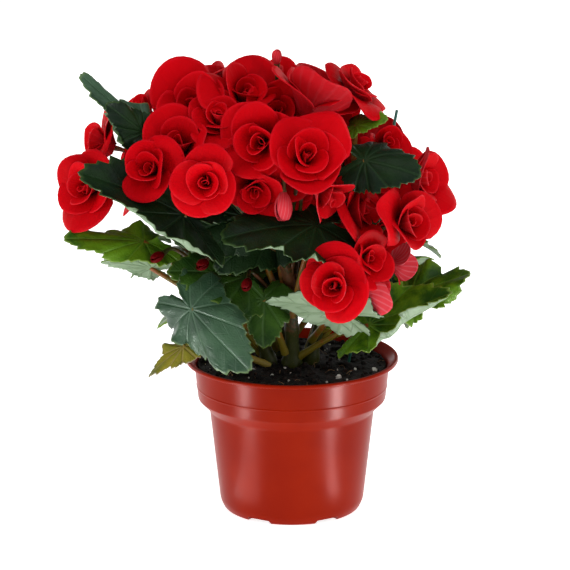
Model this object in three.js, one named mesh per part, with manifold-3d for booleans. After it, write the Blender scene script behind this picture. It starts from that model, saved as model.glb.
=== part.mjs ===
// A double-flowered begonia in a 13 cm plastic nursery pot.
// Millimetres, +Z up. The origin is the centre of the pot's floor, and -Y is the plant's front.
// Pieces that touch keep a small gap: each piece is trimmed by the pieces placed before it,
// grown by that gap.

import * as THREE from 'three';
import { mergeVertices } from 'three/addons/utils/BufferGeometryUtils.js';
import Module from 'manifold-3d';

const wasm = await Module();
wasm.setup();

// ---------------------------------------------------------------- driving dimensions

const GAP = 0.35;

const POT = {
  rimRadius: 65,
  height: 95,
  wall: 1.1,
  footRadius: 41.4,
  footCorner: { radius: 43.9, z: 5 },
  shoulderBottom: { radius: 50.3, z: 62.6 },
  shoulderTop: { radius: 57.3, z: 69.8 },
  collarTop: { radius: 59.6, z: 91.8 },
  lipThickness: 2.2,
  segments: 36,
};

const NOTCH = { count: 6, width: 15, height: 3, innerRadius: 36, firstAngle: 31 };

const SOIL = { edge: 90.2, crown: 91.6, clearance: 0.6 };

const STAKE = { radius: 0.9, foot: [22, 0, 20], top: [62.7, 0, 247.9] };

const STALK_SIDES = 6;
const STALK_STEPS = 4;
const LEAF = { thickness: 1, spokes: 14, rings: [0.55, 1], stalkRadius: 1.7 };

// Half section of a double flower, as fractions of its radius, from the base of the
// receptacle round the outer petals and down to the furled centre.
const ROSETTE = [
  { r: 0, z: -0.55 },
  { r: 0.2, z: -0.5 },
  { r: 0.72, z: -0.28 },
  { r: 1, z: 0.04 },
  { r: 0.78, z: 0.14 },
  { r: 0.66, z: 0.34 },
  { r: 0.42, z: 0.3 },
  { r: 0.26, z: 0.44 },
  { r: 0, z: 0.4 },
];
const ROSETTE_SEGMENTS = 10;
const ROSETTE_LOBE = 0.07;

// Half section of a closed bud, as fractions of its length.
const BUD = [
  { r: 0, z: -0.5 },
  { r: 0.26, z: -0.36 },
  { r: 0.36, z: -0.05 },
  { r: 0.27, z: 0.28 },
  { r: 0, z: 0.5 },
];

// ---------------------------------------------------------------- finishes

const finish = (color, roughness) =>
  new THREE.MeshStandardMaterial({ color, roughness, metalness: 0 });

const POT_PLASTIC = finish(0xa8381c, 0.3);
const POTTING_SOIL = finish(0x1c1512, 0.95);
const STAKE_GREEN = finish(0x1f4a33, 0.6);
const STEM_GREEN = finish(0x5c5a26, 0.5);
const PETAL_RED = finish(0xc4040e, 0.5);
const BUD_PINK = finish(0xd8384c, 0.5);
const LEAF_GREEN = finish(0x22451c, 0.4);
const LEAF_YELLOW = finish(0x8c8428, 0.6);

// ---------------------------------------------------------------- where things grow

// Flowers: centre of the rosette, its radius, the compass angle it faces (0 is the front,
// positive to the right) and how far it looks up, both in degrees.
const FLOWERS = [
  { name: 'front_right', at: [8, -66, 234], radius: 25, azimuth: 12, elevation: 36 },
  { name: 'front_left', at: [-50, -66, 219], radius: 20.5, azimuth: -5, elevation: 8 },
  { name: 'low_right', at: [25, -69, 158], radius: 20, azimuth: -12, elevation: 8 },
  { name: 'front_mid', at: [-18, -50, 239], radius: 22, azimuth: -12, elevation: 12 },
  { name: 'left_front', at: [-84, -47, 223], radius: 20, azimuth: -25, elevation: 20 },
  { name: 'right_front', at: [70, -38, 188], radius: 21, azimuth: 45, elevation: 15 },
  { name: 'right_inner', at: [41, -30, 193], radius: 18, azimuth: 65, elevation: 20 },
  { name: 'mid_small', at: [20, -53, 208], radius: 13, azimuth: 50, elevation: -25 },
  { name: 'mid_low', at: [-22, -46, 210], radius: 15, azimuth: 0, elevation: -10 },
  { name: 'left_upper', at: [-67, -37, 235], radius: 17, azimuth: -15, elevation: 40 },
  { name: 'upper_mid', at: [-43, -30, 249], radius: 17, azimuth: -5, elevation: 50 },
  { name: 'top_left', at: [-59, -11, 253], radius: 23, azimuth: -12, elevation: 38 },
  { name: 'top_mid', at: [-27, -11, 262], radius: 19, azimuth: 20, elevation: 50 },
  { name: 'top_front', at: [14, -21, 260], radius: 21, azimuth: 110, elevation: 60 },
  { name: 'top_back', at: [-13, 17, 262], radius: 17, azimuth: -20, elevation: 70 },
  { name: 'top_right', at: [38, -5, 263], radius: 20, azimuth: 80, elevation: 50 },
  { name: 'right_upper', at: [56, -5, 228], radius: 13, azimuth: 25, elevation: 30 },
  { name: 'right_side', at: [79, -8, 208], radius: 19, azimuth: 60, elevation: 10 },
  { name: 'low_small', at: [64, -29, 159], radius: 10, azimuth: 120, elevation: -15 },
  { name: 'left_side', at: [-122, -16, 204], radius: 22, azimuth: -35, elevation: 12 },
  { name: 'left_back', at: [-115, 6, 226], radius: 17, azimuth: -80, elevation: 20 },
  { name: 'left_top', at: [-89, 14, 246], radius: 12, azimuth: -60, elevation: 40 },
  { name: 'back_top_left', at: [-50, 29, 254], radius: 25, azimuth: -150, elevation: 45 },
  { name: 'back_top_right', at: [22, 32, 250], radius: 25, azimuth: 150, elevation: 45 },
  { name: 'back_left', at: [-88, 42, 214], radius: 23, azimuth: -125, elevation: 15 },
  { name: 'back_mid_left', at: [-44, 59, 222], radius: 24, azimuth: -165, elevation: 10 },
  { name: 'back_mid_right', at: [6, 61, 215], radius: 24, azimuth: 172, elevation: 10 },
  { name: 'back_right', at: [52, 42, 214], radius: 23, azimuth: 140, elevation: 15 },
  { name: 'back_low', at: [-20, 59, 172], radius: 21, azimuth: 180, elevation: -5 },
];

// Buds: centre, length and the way they point.
const BUDS = [
  { name: 'mid', at: [-5, -56, 203], length: 17, azimuth: 0, elevation: -70 },
  { name: 'top', at: [-9, -2, 280], length: 9, azimuth: 0, elevation: 80 },
  { name: 'back', at: [58, 53, 180], length: 15, azimuth: 140, elevation: -30 },
];

// Stems: a thick trunk through the given points, and the flowers whose stalks leave it,
// lowest first.
const STEMS = [
  {
    name: 'left',
    radius: 3.6,
    trunk: [[-10, -5, 72], [-17, -7, 104], [-34, -10, 145], [-52, -14, 185]],
    flowers: ['left_side', 'left_front', 'left_back', 'left_top', 'left_upper', 'top_left'],
    buds: [],
  },
  {
    name: 'front',
    radius: 4.2,
    trunk: [[-1, -7, 70], [0, -9, 104], [-1, -14, 140], [-6, -24, 185]],
    flowers: ['low_right', 'mid_low', 'mid_small', 'front_left', 'front_right', 'front_mid', 'upper_mid'],
    buds: ['mid', 'top'],
  },
  {
    name: 'right',
    radius: 3.6,
    trunk: [[8, 0, 72], [14, -1, 105], [28, -4, 145], [36, -6, 190]],
    flowers: ['low_small', 'right_front', 'right_inner', 'right_side', 'right_upper', 'top_right', 'top_front'],
    buds: [],
  },
  {
    name: 'back',
    radius: 3.8,
    trunk: [[-4, 8, 72], [-7, 14, 105], [-12, 26, 150], [-14, 26, 200]],
    flowers: [
      'back_low', 'back_left', 'back_right', 'back_mid_left', 'back_mid_right', 'back_top_left',
      'back_top_right', 'top_mid', 'top_back',
    ],
    buds: ['back'],
  },
];
const FLOWER_STALK_RADIUS = 1.5;
const FIRST_FORK = 0.45;

// Leaves: root of the stalk, the point where it meets the blade, the blade's tip, and the
// way the upper surface looks. Width widens the blade against its length. Arch bends it
// along its midrib and cup across it, in degrees: above zero bends its ends or sides down.
const LEAVES = [
  {
    name: 'centre', root: [0, -14, 124], base: [14, -45, 188], tip: [-38, -62, 184],
    face: [-0.05, -0.5, 0.86], width: 1.0, arch: 25, cup: 35,
  },
  {
    name: 'left_arm', root: [-26, -9, 126], base: [-64, -40, 193], tip: [-121, -48, 220],
    face: [-0.3, -0.5, 0.8], width: 0.95, arch: 15, cup: -25,
  },
  {
    name: 'hanging', root: [-22, -10, 114], base: [-60, -39, 135], tip: [-27, -57, 104],
    face: [-0.4, -0.8, 0.4], width: 0.86, arch: 20, cup: 60,
  },
  {
    name: 'small_front', root: [-4, -12, 100], base: [-17, -28, 138], tip: [-17, -38, 113],
    face: [0, -0.95, 0.3], width: 1.1, arch: 25, cup: 25,
  },
  {
    name: 'dark_left', root: [-24, -9, 118], base: [-28, -18, 149], tip: [-71, -24, 154],
    face: [0, -0.6, 0.8], width: 0.95, arch: 20, cup: 20,
  },
  {
    name: 'under_centre', root: [12, -4, 106], base: [30, -44, 134], tip: [-12, -53, 144],
    face: [0, 0.8, 0.6], width: 0.75, arch: 20, cup: 10,
  },
  {
    name: 'right_low', root: [4, -9, 97], base: [46, -24, 121], tip: [94, -29, 141],
    face: [-0.2, -0.8, 0.6], width: 0.72, arch: 10, cup: -30,
  },
  {
    name: 'right_outer', root: [18, -2, 112], base: [72, -8, 136], tip: [106, -11, 147],
    face: [-0.2, -0.62, 0.75], width: 1.0, arch: 10, cup: 20,
  },
  {
    name: 'right_upper', root: [34, -6, 180], base: [43, -36, 225], tip: [73, -46, 219],
    face: [0.1, -0.75, 0.65], width: 1.2, arch: 20, cup: 60,
  },
  {
    name: 'right_top', root: [35, -6, 186], base: [38, -15, 242], tip: [55, -22, 247],
    face: [0, -0.5, 0.85], width: 0.95, arch: 20, cup: 20,
  },
  {
    name: 'top_left', root: [-50, -13, 180], base: [-86, -24, 243], tip: [-124, -18, 270],
    face: [-0.3, -0.5, 0.8], width: 0.5, arch: -10, cup: 70,
  },
  {
    name: 'left_low', root: [-14, -4, 96], base: [-89, -13, 170], tip: [-133, -27, 173],
    face: [-0.1, -0.5, 0.85], width: 0.62, arch: 15, cup: 25,
  },
  {
    name: 'left_under', root: [-14, -2, 92], base: [-85, -10, 153], tip: [-113, -18, 159],
    face: [0, 0.8, 0.6], width: 0.6, arch: 10, cup: 15,
  },
  {
    name: 'withered', root: [-14, -10, 92], base: [-65, -36, 111], tip: [-85, -40, 95],
    face: [-0.3, -0.75, 0.6], width: 0.65, arch: 20, cup: 40, withered: true,
  },
  {
    name: 'back_left_low', root: [-12, 12, 98], base: [-66, 37, 150], tip: [-112, 61, 138],
    face: [-0.4, 0.5, 0.8], width: 1, arch: 40, cup: 20,
  },
  {
    name: 'back_right_low', root: [-4, 13, 97], base: [46, 35, 146], tip: [86, 59, 134],
    face: [0.4, 0.5, 0.8], width: 1, arch: 40, cup: 20,
  },
  {
    name: 'back_middle', root: [-7, 15, 98], base: [-8, 51, 138], tip: [-6, 85, 116],
    face: [0, 0.6, 0.8], width: 1.05, arch: 45, cup: 20,
  },
  {
    name: 'back_left_high', root: [-16, 26, 150], base: [-58, 56, 188], tip: [-96, 74, 176],
    face: [-0.4, 0.6, 0.7], width: 1, arch: 30, cup: 20,
  },
  {
    name: 'back_right_high', root: [-10, 26, 150], base: [36, 59, 184], tip: [72, 74, 172],
    face: [0.4, 0.6, 0.7], width: 1, arch: 30, cup: 20,
  },
  {
    name: 'right_back', root: [17, 0, 112], base: [60, 17, 164], tip: [90, 34, 151],
    face: [0.3, 0.3, 0.9], width: 0.9, arch: 30, cup: 20,
  },
];

// ---------------------------------------------------------------- solids

const vector = ([x, y, z]) => new THREE.Vector3(x, y, z);

/** Unit vector that looks along a compass angle and an elevation, in degrees. */
function direction(azimuth, elevation) {
  const turn = THREE.MathUtils.degToRad(azimuth);
  const lift = THREE.MathUtils.degToRad(elevation);
  return new THREE.Vector3(
    Math.sin(turn) * Math.cos(lift),
    -Math.cos(turn) * Math.cos(lift),
    Math.sin(lift),
  );
}

/** Closed solid of a geometry whose faces all point outwards. */
function solid(geometry) {
  geometry.deleteAttribute('normal');
  geometry.deleteAttribute('uv');
  const merged = mergeVertices(geometry, 1e-4);
  const index = merged.index.array;
  const triangles = [];
  for (let i = 0; i < index.length; i += 3) {
    const [a, b, c] = index.slice(i, i + 3);
    if (a !== b && b !== c && c !== a) triangles.push(a, b, c);
  }
  return new wasm.Manifold(new wasm.Mesh({
    numProp: 3,
    vertProperties: merged.attributes.position.array,
    triVerts: Uint32Array.from(triangles),
  }));
}

/** Geometry of a solid, shaded flat. */
function geometryOf(body) {
  const { vertProperties, triVerts } = body.getMesh();
  const geometry = new THREE.BufferGeometry();
  geometry.setAttribute('position', new THREE.BufferAttribute(vertProperties, 3));
  geometry.setIndex(new THREE.BufferAttribute(triVerts, 1));
  geometry.computeVertexNormals();
  return geometry;
}

/** Solid of revolution about +Z through [radius, z] points that run up the outside. */
function turned(points, segments) {
  const profile = points.map(([r, z]) => new THREE.Vector2(r, z));
  const geometry = new THREE.LatheGeometry(profile, segments);
  geometry.rotateX(Math.PI / 2);
  return solid(geometry);
}

/** Round rod through points, with its two ends pushed out by the growth too. */
function rod(points, radius, steps, sides, grow) {
  const path = points.map((p) => p.clone());
  const last = path.length - 1;
  path[0].addScaledVector(path[0].clone().sub(path[1]).normalize(), grow);
  path[last].addScaledVector(path[last].clone().sub(path[last - 1]).normalize(), grow);
  const section = new THREE.Shape();
  section.absarc(0, 0, radius + grow, 0, 2 * Math.PI);
  return solid(new THREE.ExtrudeGeometry(section, {
    steps,
    curveSegments: sides / 2,
    bevelEnabled: false,
    extrudePath: new THREE.CatmullRomCurve3(path, false, 'centripetal'),
  }));
}

function potProfile(grow) {
  const { rimRadius: rim, height, wall, footRadius, lipThickness: lip } = POT;
  const inner = wall + grow;
  const outside = [
    [0, -grow],
    [footRadius + grow, -grow],
    [POT.footCorner.radius + grow, POT.footCorner.z],
    [POT.shoulderBottom.radius + grow, POT.shoulderBottom.z],
    [POT.shoulderTop.radius + grow, POT.shoulderTop.z],
    [POT.collarTop.radius + grow, POT.collarTop.z - grow],
    [rim - 0.6 + grow, height - lip - grow],
    [rim + grow, height - lip / 2],
    [rim - 0.6 + grow, height + grow],
  ];
  const inside = [
    [rim - 2.2 - grow, height + grow],
    [POT.collarTop.radius - inner, height - 4],
    [POT.shoulderTop.radius - inner, POT.shoulderTop.z + 0.5],
    [POT.shoulderBottom.radius - inner, POT.shoulderBottom.z + 0.5],
    [POT.footCorner.radius - inner, POT.footCorner.z],
    [footRadius - inner, inner],
    [0, inner],
  ];
  return [...outside, ...inside];
}

/** The pot, with drain notches cut through the foot. */
function pot(grow) {
  let body = turned(potProfile(grow), POT.segments);
  if (grow > 0) return body;
  const reach = POT.footCorner.radius + 6 - NOTCH.innerRadius;
  for (let i = 0; i < NOTCH.count; i += 1) {
    const cutter = new THREE.BoxGeometry(NOTCH.width, reach, 2 * NOTCH.height);
    cutter.translate(0, -NOTCH.innerRadius - reach / 2, 0);
    cutter.rotateZ(THREE.MathUtils.degToRad(NOTCH.firstAngle + (360 / NOTCH.count) * i));
    body = body.subtract(solid(cutter));
  }
  return body;
}

/** Soil that fills the pot to just under its rim. */
function soil() {
  const inset = POT.wall + SOIL.clearance;
  return turned([
    [0, inset],
    [POT.footRadius - inset, inset],
    [POT.footCorner.radius - inset, POT.footCorner.z],
    [POT.shoulderBottom.radius - inset, POT.shoulderBottom.z],
    [POT.shoulderTop.radius - inset, POT.shoulderTop.z + 1],
    [POT.collarTop.radius - inset - 0.4, SOIL.edge],
    [POT.collarTop.radius * 0.45, SOIL.crown - 1],
    [0, SOIL.crown],
  ], POT.segments);
}

const stake = (grow) => rod([vector(STAKE.foot), vector(STAKE.top)], STAKE.radius, 1, 8, grow);

/** Rosette, lobed at its rim by its five outer petals and turned to its facing. */
function flower({ at, radius, azimuth, elevation }, grow) {
  const scale = radius + 2 * grow;
  const profile = ROSETTE.map(({ r, z }) => new THREE.Vector2(r * scale, z * scale));
  const geometry = new THREE.LatheGeometry(profile, ROSETTE_SEGMENTS);
  const spot = geometry.attributes.position;
  for (let i = 0; i < spot.count; i += 1) {
    const [x, z] = [spot.getX(i), spot.getZ(i)];
    const reach = Math.hypot(x, z) / scale;
    const lobe = 1 + ROSETTE_LOBE * reach * Math.cos(5 * Math.atan2(x, z));
    spot.setX(i, x * lobe);
    spot.setZ(i, z * lobe);
  }
  return solid(turnedTo(geometry, direction(azimuth, elevation), at));
}

/** Closed bud along its own axis. */
function bud({ at, length, azimuth, elevation }, grow) {
  const scale = length + 4 * grow;
  const profile = BUD.map(({ r, z }) => new THREE.Vector2(r * scale, z * scale));
  const geometry = new THREE.LatheGeometry(profile, 8);
  return solid(turnedTo(geometry, direction(azimuth, elevation), at));
}

/** Turns a geometry built along +Y to look along an axis, and moves it into place. */
function turnedTo(geometry, axis, at) {
  geometry.applyQuaternion(
    new THREE.Quaternion().setFromUnitVectors(new THREE.Vector3(0, 1, 0), axis),
  );
  geometry.translate(...at);
  return geometry;
}

/** A trunk with the stalks of its flowers and buds, as one grown body. */
function stem({ radius, trunk, flowers, buds }, grow) {
  const points = trunk.map(vector);
  const spine = new THREE.CatmullRomCurve3(points, false, 'centripetal');
  let body = rod(points, radius, 8, 8, grow);
  const heads = [
    ...flowers.map((name) => FLOWERS.find((f) => f.name === name)),
    ...buds.map((name) => BUDS.find((b) => b.name === name)),
  ];
  heads.forEach((head, i) => {
    const fork = FIRST_FORK + (1 - FIRST_FORK) * Math.min(1, i / (flowers.length - 1));
    const start = spine.getPointAt(fork);
    const end = vector(head.at);
    const back = (head.radius ?? head.length) * 0.5;
    const neck = end.clone().addScaledVector(direction(head.azimuth, head.elevation), -back - 8);
    const middle = start.clone().lerp(neck, 0.5);
    middle.z += 0.04 * start.distanceTo(neck);
    body = body.add(rod([start, middle, neck, end], FLOWER_STALK_RADIUS, STALK_STEPS, STALK_SIDES, grow));
  });
  return body;
}

/** Reach of a heart-shaped blade on a bearing from its tip, as a share of its length. */
function bladeReach(bearing) {
  const toTip = bearing / 0.55;
  const toNotch = (Math.PI - Math.abs(bearing)) / 0.35;
  const outline = 0.56 + 0.44 * Math.exp(-toTip * toTip) - 0.4 * Math.exp(-toNotch * toNotch);
  return outline * (1 + 0.05 * Math.cos(7 * bearing)) * (1 + 0.08 * Math.sin(bearing));
}

/** Maps a point of the flat blade, and its height over it, to the bent leaf in place. */
function leafBend({ base, tip, face, width, arch, cup }) {
  const chord = vector(tip).sub(vector(base));
  const ahead = chord.clone().normalize();
  const across = vector(face).cross(ahead).normalize();
  const up = ahead.clone().cross(across);
  const half = THREE.MathUtils.degToRad(arch) / 2;
  const length = (chord.length() * half) / Math.sin(half);
  const bendRadius = length / (2 * half);
  const side = 0.6 * length * width;
  const roll = side / THREE.MathUtils.degToRad(cup);
  const place = (x, y, height) => {
    const a = (y * width) / roll;
    const b = (x / length) * 2 * half - half;
    const rise = roll * (Math.cos(a) - 1) + height * Math.cos(a);
    const sideways = (roll + height) * Math.sin(a);
    const forward = bendRadius * (Math.sin(b) + Math.sin(half)) + rise * Math.sin(b);
    const over = bendRadius * (Math.cos(b) - Math.cos(half)) + rise * Math.cos(b);
    return vector(base)
      .addScaledVector(ahead, forward)
      .addScaledVector(across, sideways)
      .addScaledVector(up, over);
  };
  return { length, place };
}

/** Leaf blade: two fans of rings round the stalk, joined at the margin. */
function blade(leaf, grow) {
  const { spokes, rings } = LEAF;
  const half = LEAF.thickness / 2 + grow;
  const { length, place } = leafBend(leaf);
  const positions = [];
  for (const height of [half, -half]) {
    positions.push(...place(0, 0, height));
    for (const ring of rings) {
      for (let i = 0; i < spokes; i += 1) {
        const bearing = (2 * Math.PI * i) / spokes - Math.PI + 1e-6;
        const reach = bladeReach(bearing) * length * ring + (ring === 1 ? grow : 0);
        positions.push(...place(reach * Math.cos(bearing), reach * Math.sin(bearing), height));
      }
    }
  }
  const under = 1 + rings.length * spokes;
  const margin = 1 + (rings.length - 1) * spokes;
  const faces = [];
  for (let i = 0; i < spokes; i += 1) {
    const next = (i + 1) % spokes;
    faces.push(0, 1 + i, 1 + next);
    faces.push(under, under + 1 + next, under + 1 + i);
    for (let ring = 1; ring < rings.length; ring += 1) {
      const inner = 1 + (ring - 1) * spokes;
      const outer = inner + spokes;
      faces.push(inner + i, outer + i, outer + next, inner + i, outer + next, inner + next);
      faces.push(under + inner + i, under + outer + next, under + outer + i);
      faces.push(under + inner + i, under + inner + next, under + outer + next);
    }
    faces.push(margin + i, under + margin + i, under + margin + next);
    faces.push(margin + i, under + margin + next, margin + next);
  }
  const geometry = new THREE.BufferGeometry();
  geometry.setAttribute('position', new THREE.Float32BufferAttribute(positions, 3));
  geometry.setIndex(faces);
  return solid(geometry);
}

/** A leaf with its stalk. */
function leaf(shape, grow) {
  const root = vector(shape.root);
  const end = vector(shape.base);
  const middle = root.clone().lerp(end, 0.5);
  middle.z += 0.06 * root.distanceTo(end);
  return blade(shape, grow).add(rod([root, middle, end], LEAF.stalkRadius, STALK_STEPS, STALK_SIDES, grow));
}

// ---------------------------------------------------------------- assembly

const plant = new THREE.Group();
const placed = [];

function boxesMeet(one, other) {
  const a = one.boundingBox();
  const b = other.boundingBox();
  return [0, 1, 2].every((i) => a.min[i] < b.max[i] && b.min[i] < a.max[i]);
}

/** Trims a piece by everything placed before it and adds what is left to the plant. */
function addPiece(name, material, shape) {
  let body = shape(0);
  for (const cutter of placed) {
    if (boxesMeet(body, cutter)) body = body.subtract(cutter);
  }
  const [largest] = body.decompose().sort((a, b) => b.volume() - a.volume());
  placed.push(shape(GAP));
  const mesh = new THREE.Mesh(geometryOf(largest), material);
  mesh.name = name;
  plant.add(mesh);
}

addPiece('pot', POT_PLASTIC, pot);
addPiece('stake', STAKE_GREEN, stake);
for (const f of FLOWERS) addPiece(`flower_${f.name}`, PETAL_RED, (gap) => flower(f, gap));
for (const b of BUDS) addPiece(`bud_${b.name}`, BUD_PINK, (gap) => bud(b, gap));
for (const s of STEMS) addPiece(`stem_${s.name}`, STEM_GREEN, (gap) => stem(s, gap));
for (const l of LEAVES) {
  addPiece(`leaf_${l.name}`, l.withered ? LEAF_YELLOW : LEAF_GREEN, (gap) => leaf(l, gap));
}
addPiece('soil', POTTING_SOIL, soil);

export default plant;
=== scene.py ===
"""Double-flowered begonia in a 13 cm plastic nursery pot.

Sizes are written in millimetres and turned into metres where a mesh is made. The origin is the
centre of the pot's floor, +Z is up and -Y is the front of the plant.
"""

import logging
import math
from dataclasses import dataclass, field
from enum import Enum
from random import Random
from typing import Any, Optional, Sequence, Tuple, Union

import bpy
import numpy as np
from mathutils import Matrix, Vector, noise


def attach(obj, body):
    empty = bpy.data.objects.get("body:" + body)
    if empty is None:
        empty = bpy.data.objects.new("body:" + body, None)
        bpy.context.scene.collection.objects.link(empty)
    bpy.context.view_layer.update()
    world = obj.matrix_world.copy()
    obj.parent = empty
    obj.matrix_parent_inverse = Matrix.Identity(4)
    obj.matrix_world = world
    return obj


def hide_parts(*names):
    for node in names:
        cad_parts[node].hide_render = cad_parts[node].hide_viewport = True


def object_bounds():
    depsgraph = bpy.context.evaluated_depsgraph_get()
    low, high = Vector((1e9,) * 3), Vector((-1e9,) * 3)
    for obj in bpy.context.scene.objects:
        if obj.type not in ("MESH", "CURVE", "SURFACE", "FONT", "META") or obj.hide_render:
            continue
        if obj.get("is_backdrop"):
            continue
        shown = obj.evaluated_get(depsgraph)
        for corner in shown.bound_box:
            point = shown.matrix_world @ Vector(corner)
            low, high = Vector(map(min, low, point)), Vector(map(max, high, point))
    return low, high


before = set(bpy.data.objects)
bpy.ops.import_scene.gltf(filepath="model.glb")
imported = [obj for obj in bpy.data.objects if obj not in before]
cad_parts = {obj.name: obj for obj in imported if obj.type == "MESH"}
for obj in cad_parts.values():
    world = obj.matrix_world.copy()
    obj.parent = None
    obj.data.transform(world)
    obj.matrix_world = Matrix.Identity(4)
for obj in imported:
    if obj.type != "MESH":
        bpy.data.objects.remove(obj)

MM = 0.001  # metres in a millimetre
MERGE = 2e-6  # points closer than this, in metres, become one
SLIVER = 1e-7  # edges shorter than this, in metres, are dissolved
UV_SPAN = 100.0  # millimetres of leaf in one unit of its UV map
VEIN_SLANT = 0.95  # slope of a leaf's side veins from its main vein
VEIN_PACE = 0.66  # radians between side veins for each millimetre along a main vein
WHOLE_TURN = 6.28  # radians
UP = (0.0, 0.0, 1.0)
BRANCH_SEED, LEAF_SEED, BLOOM_SEED, BUD_SEED = 200, 300, 400, 500
Point = Tuple[float, float, float]
Colour = Tuple[float, float, float]
Corner = Tuple[float, float, float]
Piece = bpy.types.Object
Material = bpy.types.Material
Array = np.ndarray
LOG = logging.getLogger("begonia")


# ------------------------------------------------------------------ modelling helpers


def deselect() -> None:
    """Leaves nothing selected."""
    bpy.ops.object.select_all(action="DESELECT")


def pick(*pieces: Piece) -> None:
    """Selects pieces alone and makes the first one active.

    Args:
        *pieces: Objects to select.
    """
    deselect()
    for piece in pieces:
        piece.select_set(True)
    bpy.context.view_layer.objects.active = pieces[0]


def take(name: str) -> Piece:
    """Names the piece that an operator has just added.

    Args:
        name: Name for the object and its mesh.

    Returns:
        The active object.
    """
    piece = bpy.context.object
    piece.name = name
    piece.data.name = name
    return piece


def twin(piece: Piece, name: str) -> Piece:
    """Copies a piece together with its own mesh.

    Args:
        piece: Object to copy.
        name: Name for the copy.

    Returns:
        The copy.
    """
    copy = piece.copy()
    copy.data = piece.data.copy()
    copy.name = name
    bpy.context.scene.collection.objects.link(copy)
    return copy


def discard(piece: Piece) -> None:
    """Removes a pattern piece and its mesh.

    Args:
        piece: Object that isn't needed any more.
    """
    mesh = piece.data
    bpy.data.objects.remove(piece)
    bpy.data.meshes.remove(mesh)


def join(pieces: Sequence[Piece], name: str) -> Piece:
    """Joins pieces into the first one.

    Args:
        pieces: Mesh objects, the first of which stays.
        name: Name for the result.

    Returns:
        The joined piece.
    """
    pick(*pieces)
    if len(pieces) > 1:
        bpy.ops.object.join()
    return take(name)


def apply(piece: Piece, kind: str, **settings: Any) -> None:
    """Adds a modifier with its settings and applies it.

    Args:
        piece: Object to change.
        kind: Blender's name of the modifier type.
        **settings: Values of the modifier's own properties.
    """
    pick(piece)
    modifier = piece.modifiers.new(kind.title(), kind)
    for key, value in settings.items():
        setattr(modifier, key, value)
    bpy.ops.object.modifier_apply(modifier=modifier.name)


def close_up(piece: Piece, outward: bool = False) -> None:
    """Merges seam and pole points, and optionally turns the faces outwards.

    Args:
        piece: Object to clean.
        outward: Whether to recalculate the normals too.
    """
    pick(piece)
    bpy.ops.object.mode_set(mode="EDIT")
    bpy.ops.mesh.select_all(action="SELECT")
    bpy.ops.mesh.remove_doubles(threshold=MERGE)
    bpy.ops.mesh.dissolve_degenerate(threshold=SLIVER)
    if outward:
        bpy.ops.mesh.normals_make_consistent(inside=False)
    bpy.ops.object.mode_set(mode="OBJECT")


def smooth(piece: Piece, degrees: float = 180.0) -> None:
    """Shades a piece smooth, with edges sharper than an angle left crisp.

    Args:
        piece: Object to shade.
        degrees: Sharpest edge that still looks smooth.
    """
    pick(piece)
    if degrees >= 180.0:
        bpy.ops.object.shade_smooth()
    else:
        bpy.ops.object.shade_smooth_by_angle(angle=math.radians(degrees))


def dress(piece: Piece, *finishes: Material) -> None:
    """Gives a piece its finishes, in place of any that it has.

    Args:
        piece: Object to dress.
        *finishes: Materials, in the order of their slots.
    """
    piece.data.materials.clear()
    for finish in finishes:
        piece.data.materials.append(finish)


def coordinates(piece: Piece) -> Array:
    """Vertex positions of a piece.

    Args:
        piece: Mesh object to read.

    Returns:
        An (n, 3) array in metres.
    """
    flat = np.empty(len(piece.data.vertices) * 3)
    piece.data.vertices.foreach_get("co", flat)
    return flat.reshape(-1, 3)


def reshape(piece: Piece, points: Array) -> None:
    """Moves every vertex of a piece to a new position in metres."""
    piece.data.vertices.foreach_set("co", np.ascontiguousarray(points, float).ravel())
    piece.data.update()


def set_uv(piece: Piece, u: Array, v: Array) -> None:
    """Writes the piece's own UV map from one pair of values per vertex.

    Args:
        piece: Mesh object with a UV map.
        u: First value of each vertex.
        v: Second value of each vertex.
    """
    corners = np.empty(len(piece.data.loops), int)
    piece.data.loops.foreach_get("vertex_index", corners)
    layer = piece.data.uv_layers[0]
    layer.data.foreach_set("uv", np.stack([u[corners], v[corners]], 1).ravel())


def grid(name: str, columns: int, rows: int) -> Piece:
    """Adds a flat sheet of quads, from -1 to 1 both ways, to be shaped.

    Args:
        name: Name for the piece.
        columns: Faces across.
        rows: Faces along.

    Returns:
        The sheet.
    """
    deselect()
    bpy.ops.mesh.primitive_grid_add(x_subdivisions=columns, y_subdivisions=rows, size=2)
    return take(name)


def unit(vector: Array) -> Array:
    """Vector scaled to length one."""
    return vector / np.linalg.norm(vector)


def direction(azimuth: float, elevation: float) -> Array:
    """Unit vector for a compass angle and an elevation.

    Args:
        azimuth: Degrees from the front, positive to the right.
        elevation: Degrees above the horizon.

    Returns:
        The vector.
    """
    turn, lift = math.radians(azimuth), math.radians(elevation)
    return np.array([
        math.sin(turn) * math.cos(lift),
        -math.cos(turn) * math.cos(lift),
        math.sin(lift),
    ])


def about_axis(turn: float) -> Array:
    """Turn about +Z in radians, as a matrix for points written as rows."""
    c, s = math.cos(turn), math.sin(turn)
    return np.array([[c, s, 0], [-s, c, 0], [0, 0, 1]])


def facing(azimuth: float, elevation: float, upright: Point) -> Array:
    """Axes of a flower or bud that faces a direction.

    Args:
        azimuth: Degrees from the front, positive to the right.
        elevation: Degrees above the horizon.
        upright: Rough upward direction, which its own up leans towards.

    Returns:
        Rows: its up, its right and the way it faces.
    """
    ahead = direction(azimuth, elevation)
    side = unit(np.cross(ahead, upright))
    return np.stack([np.cross(side, ahead), side, ahead])


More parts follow.
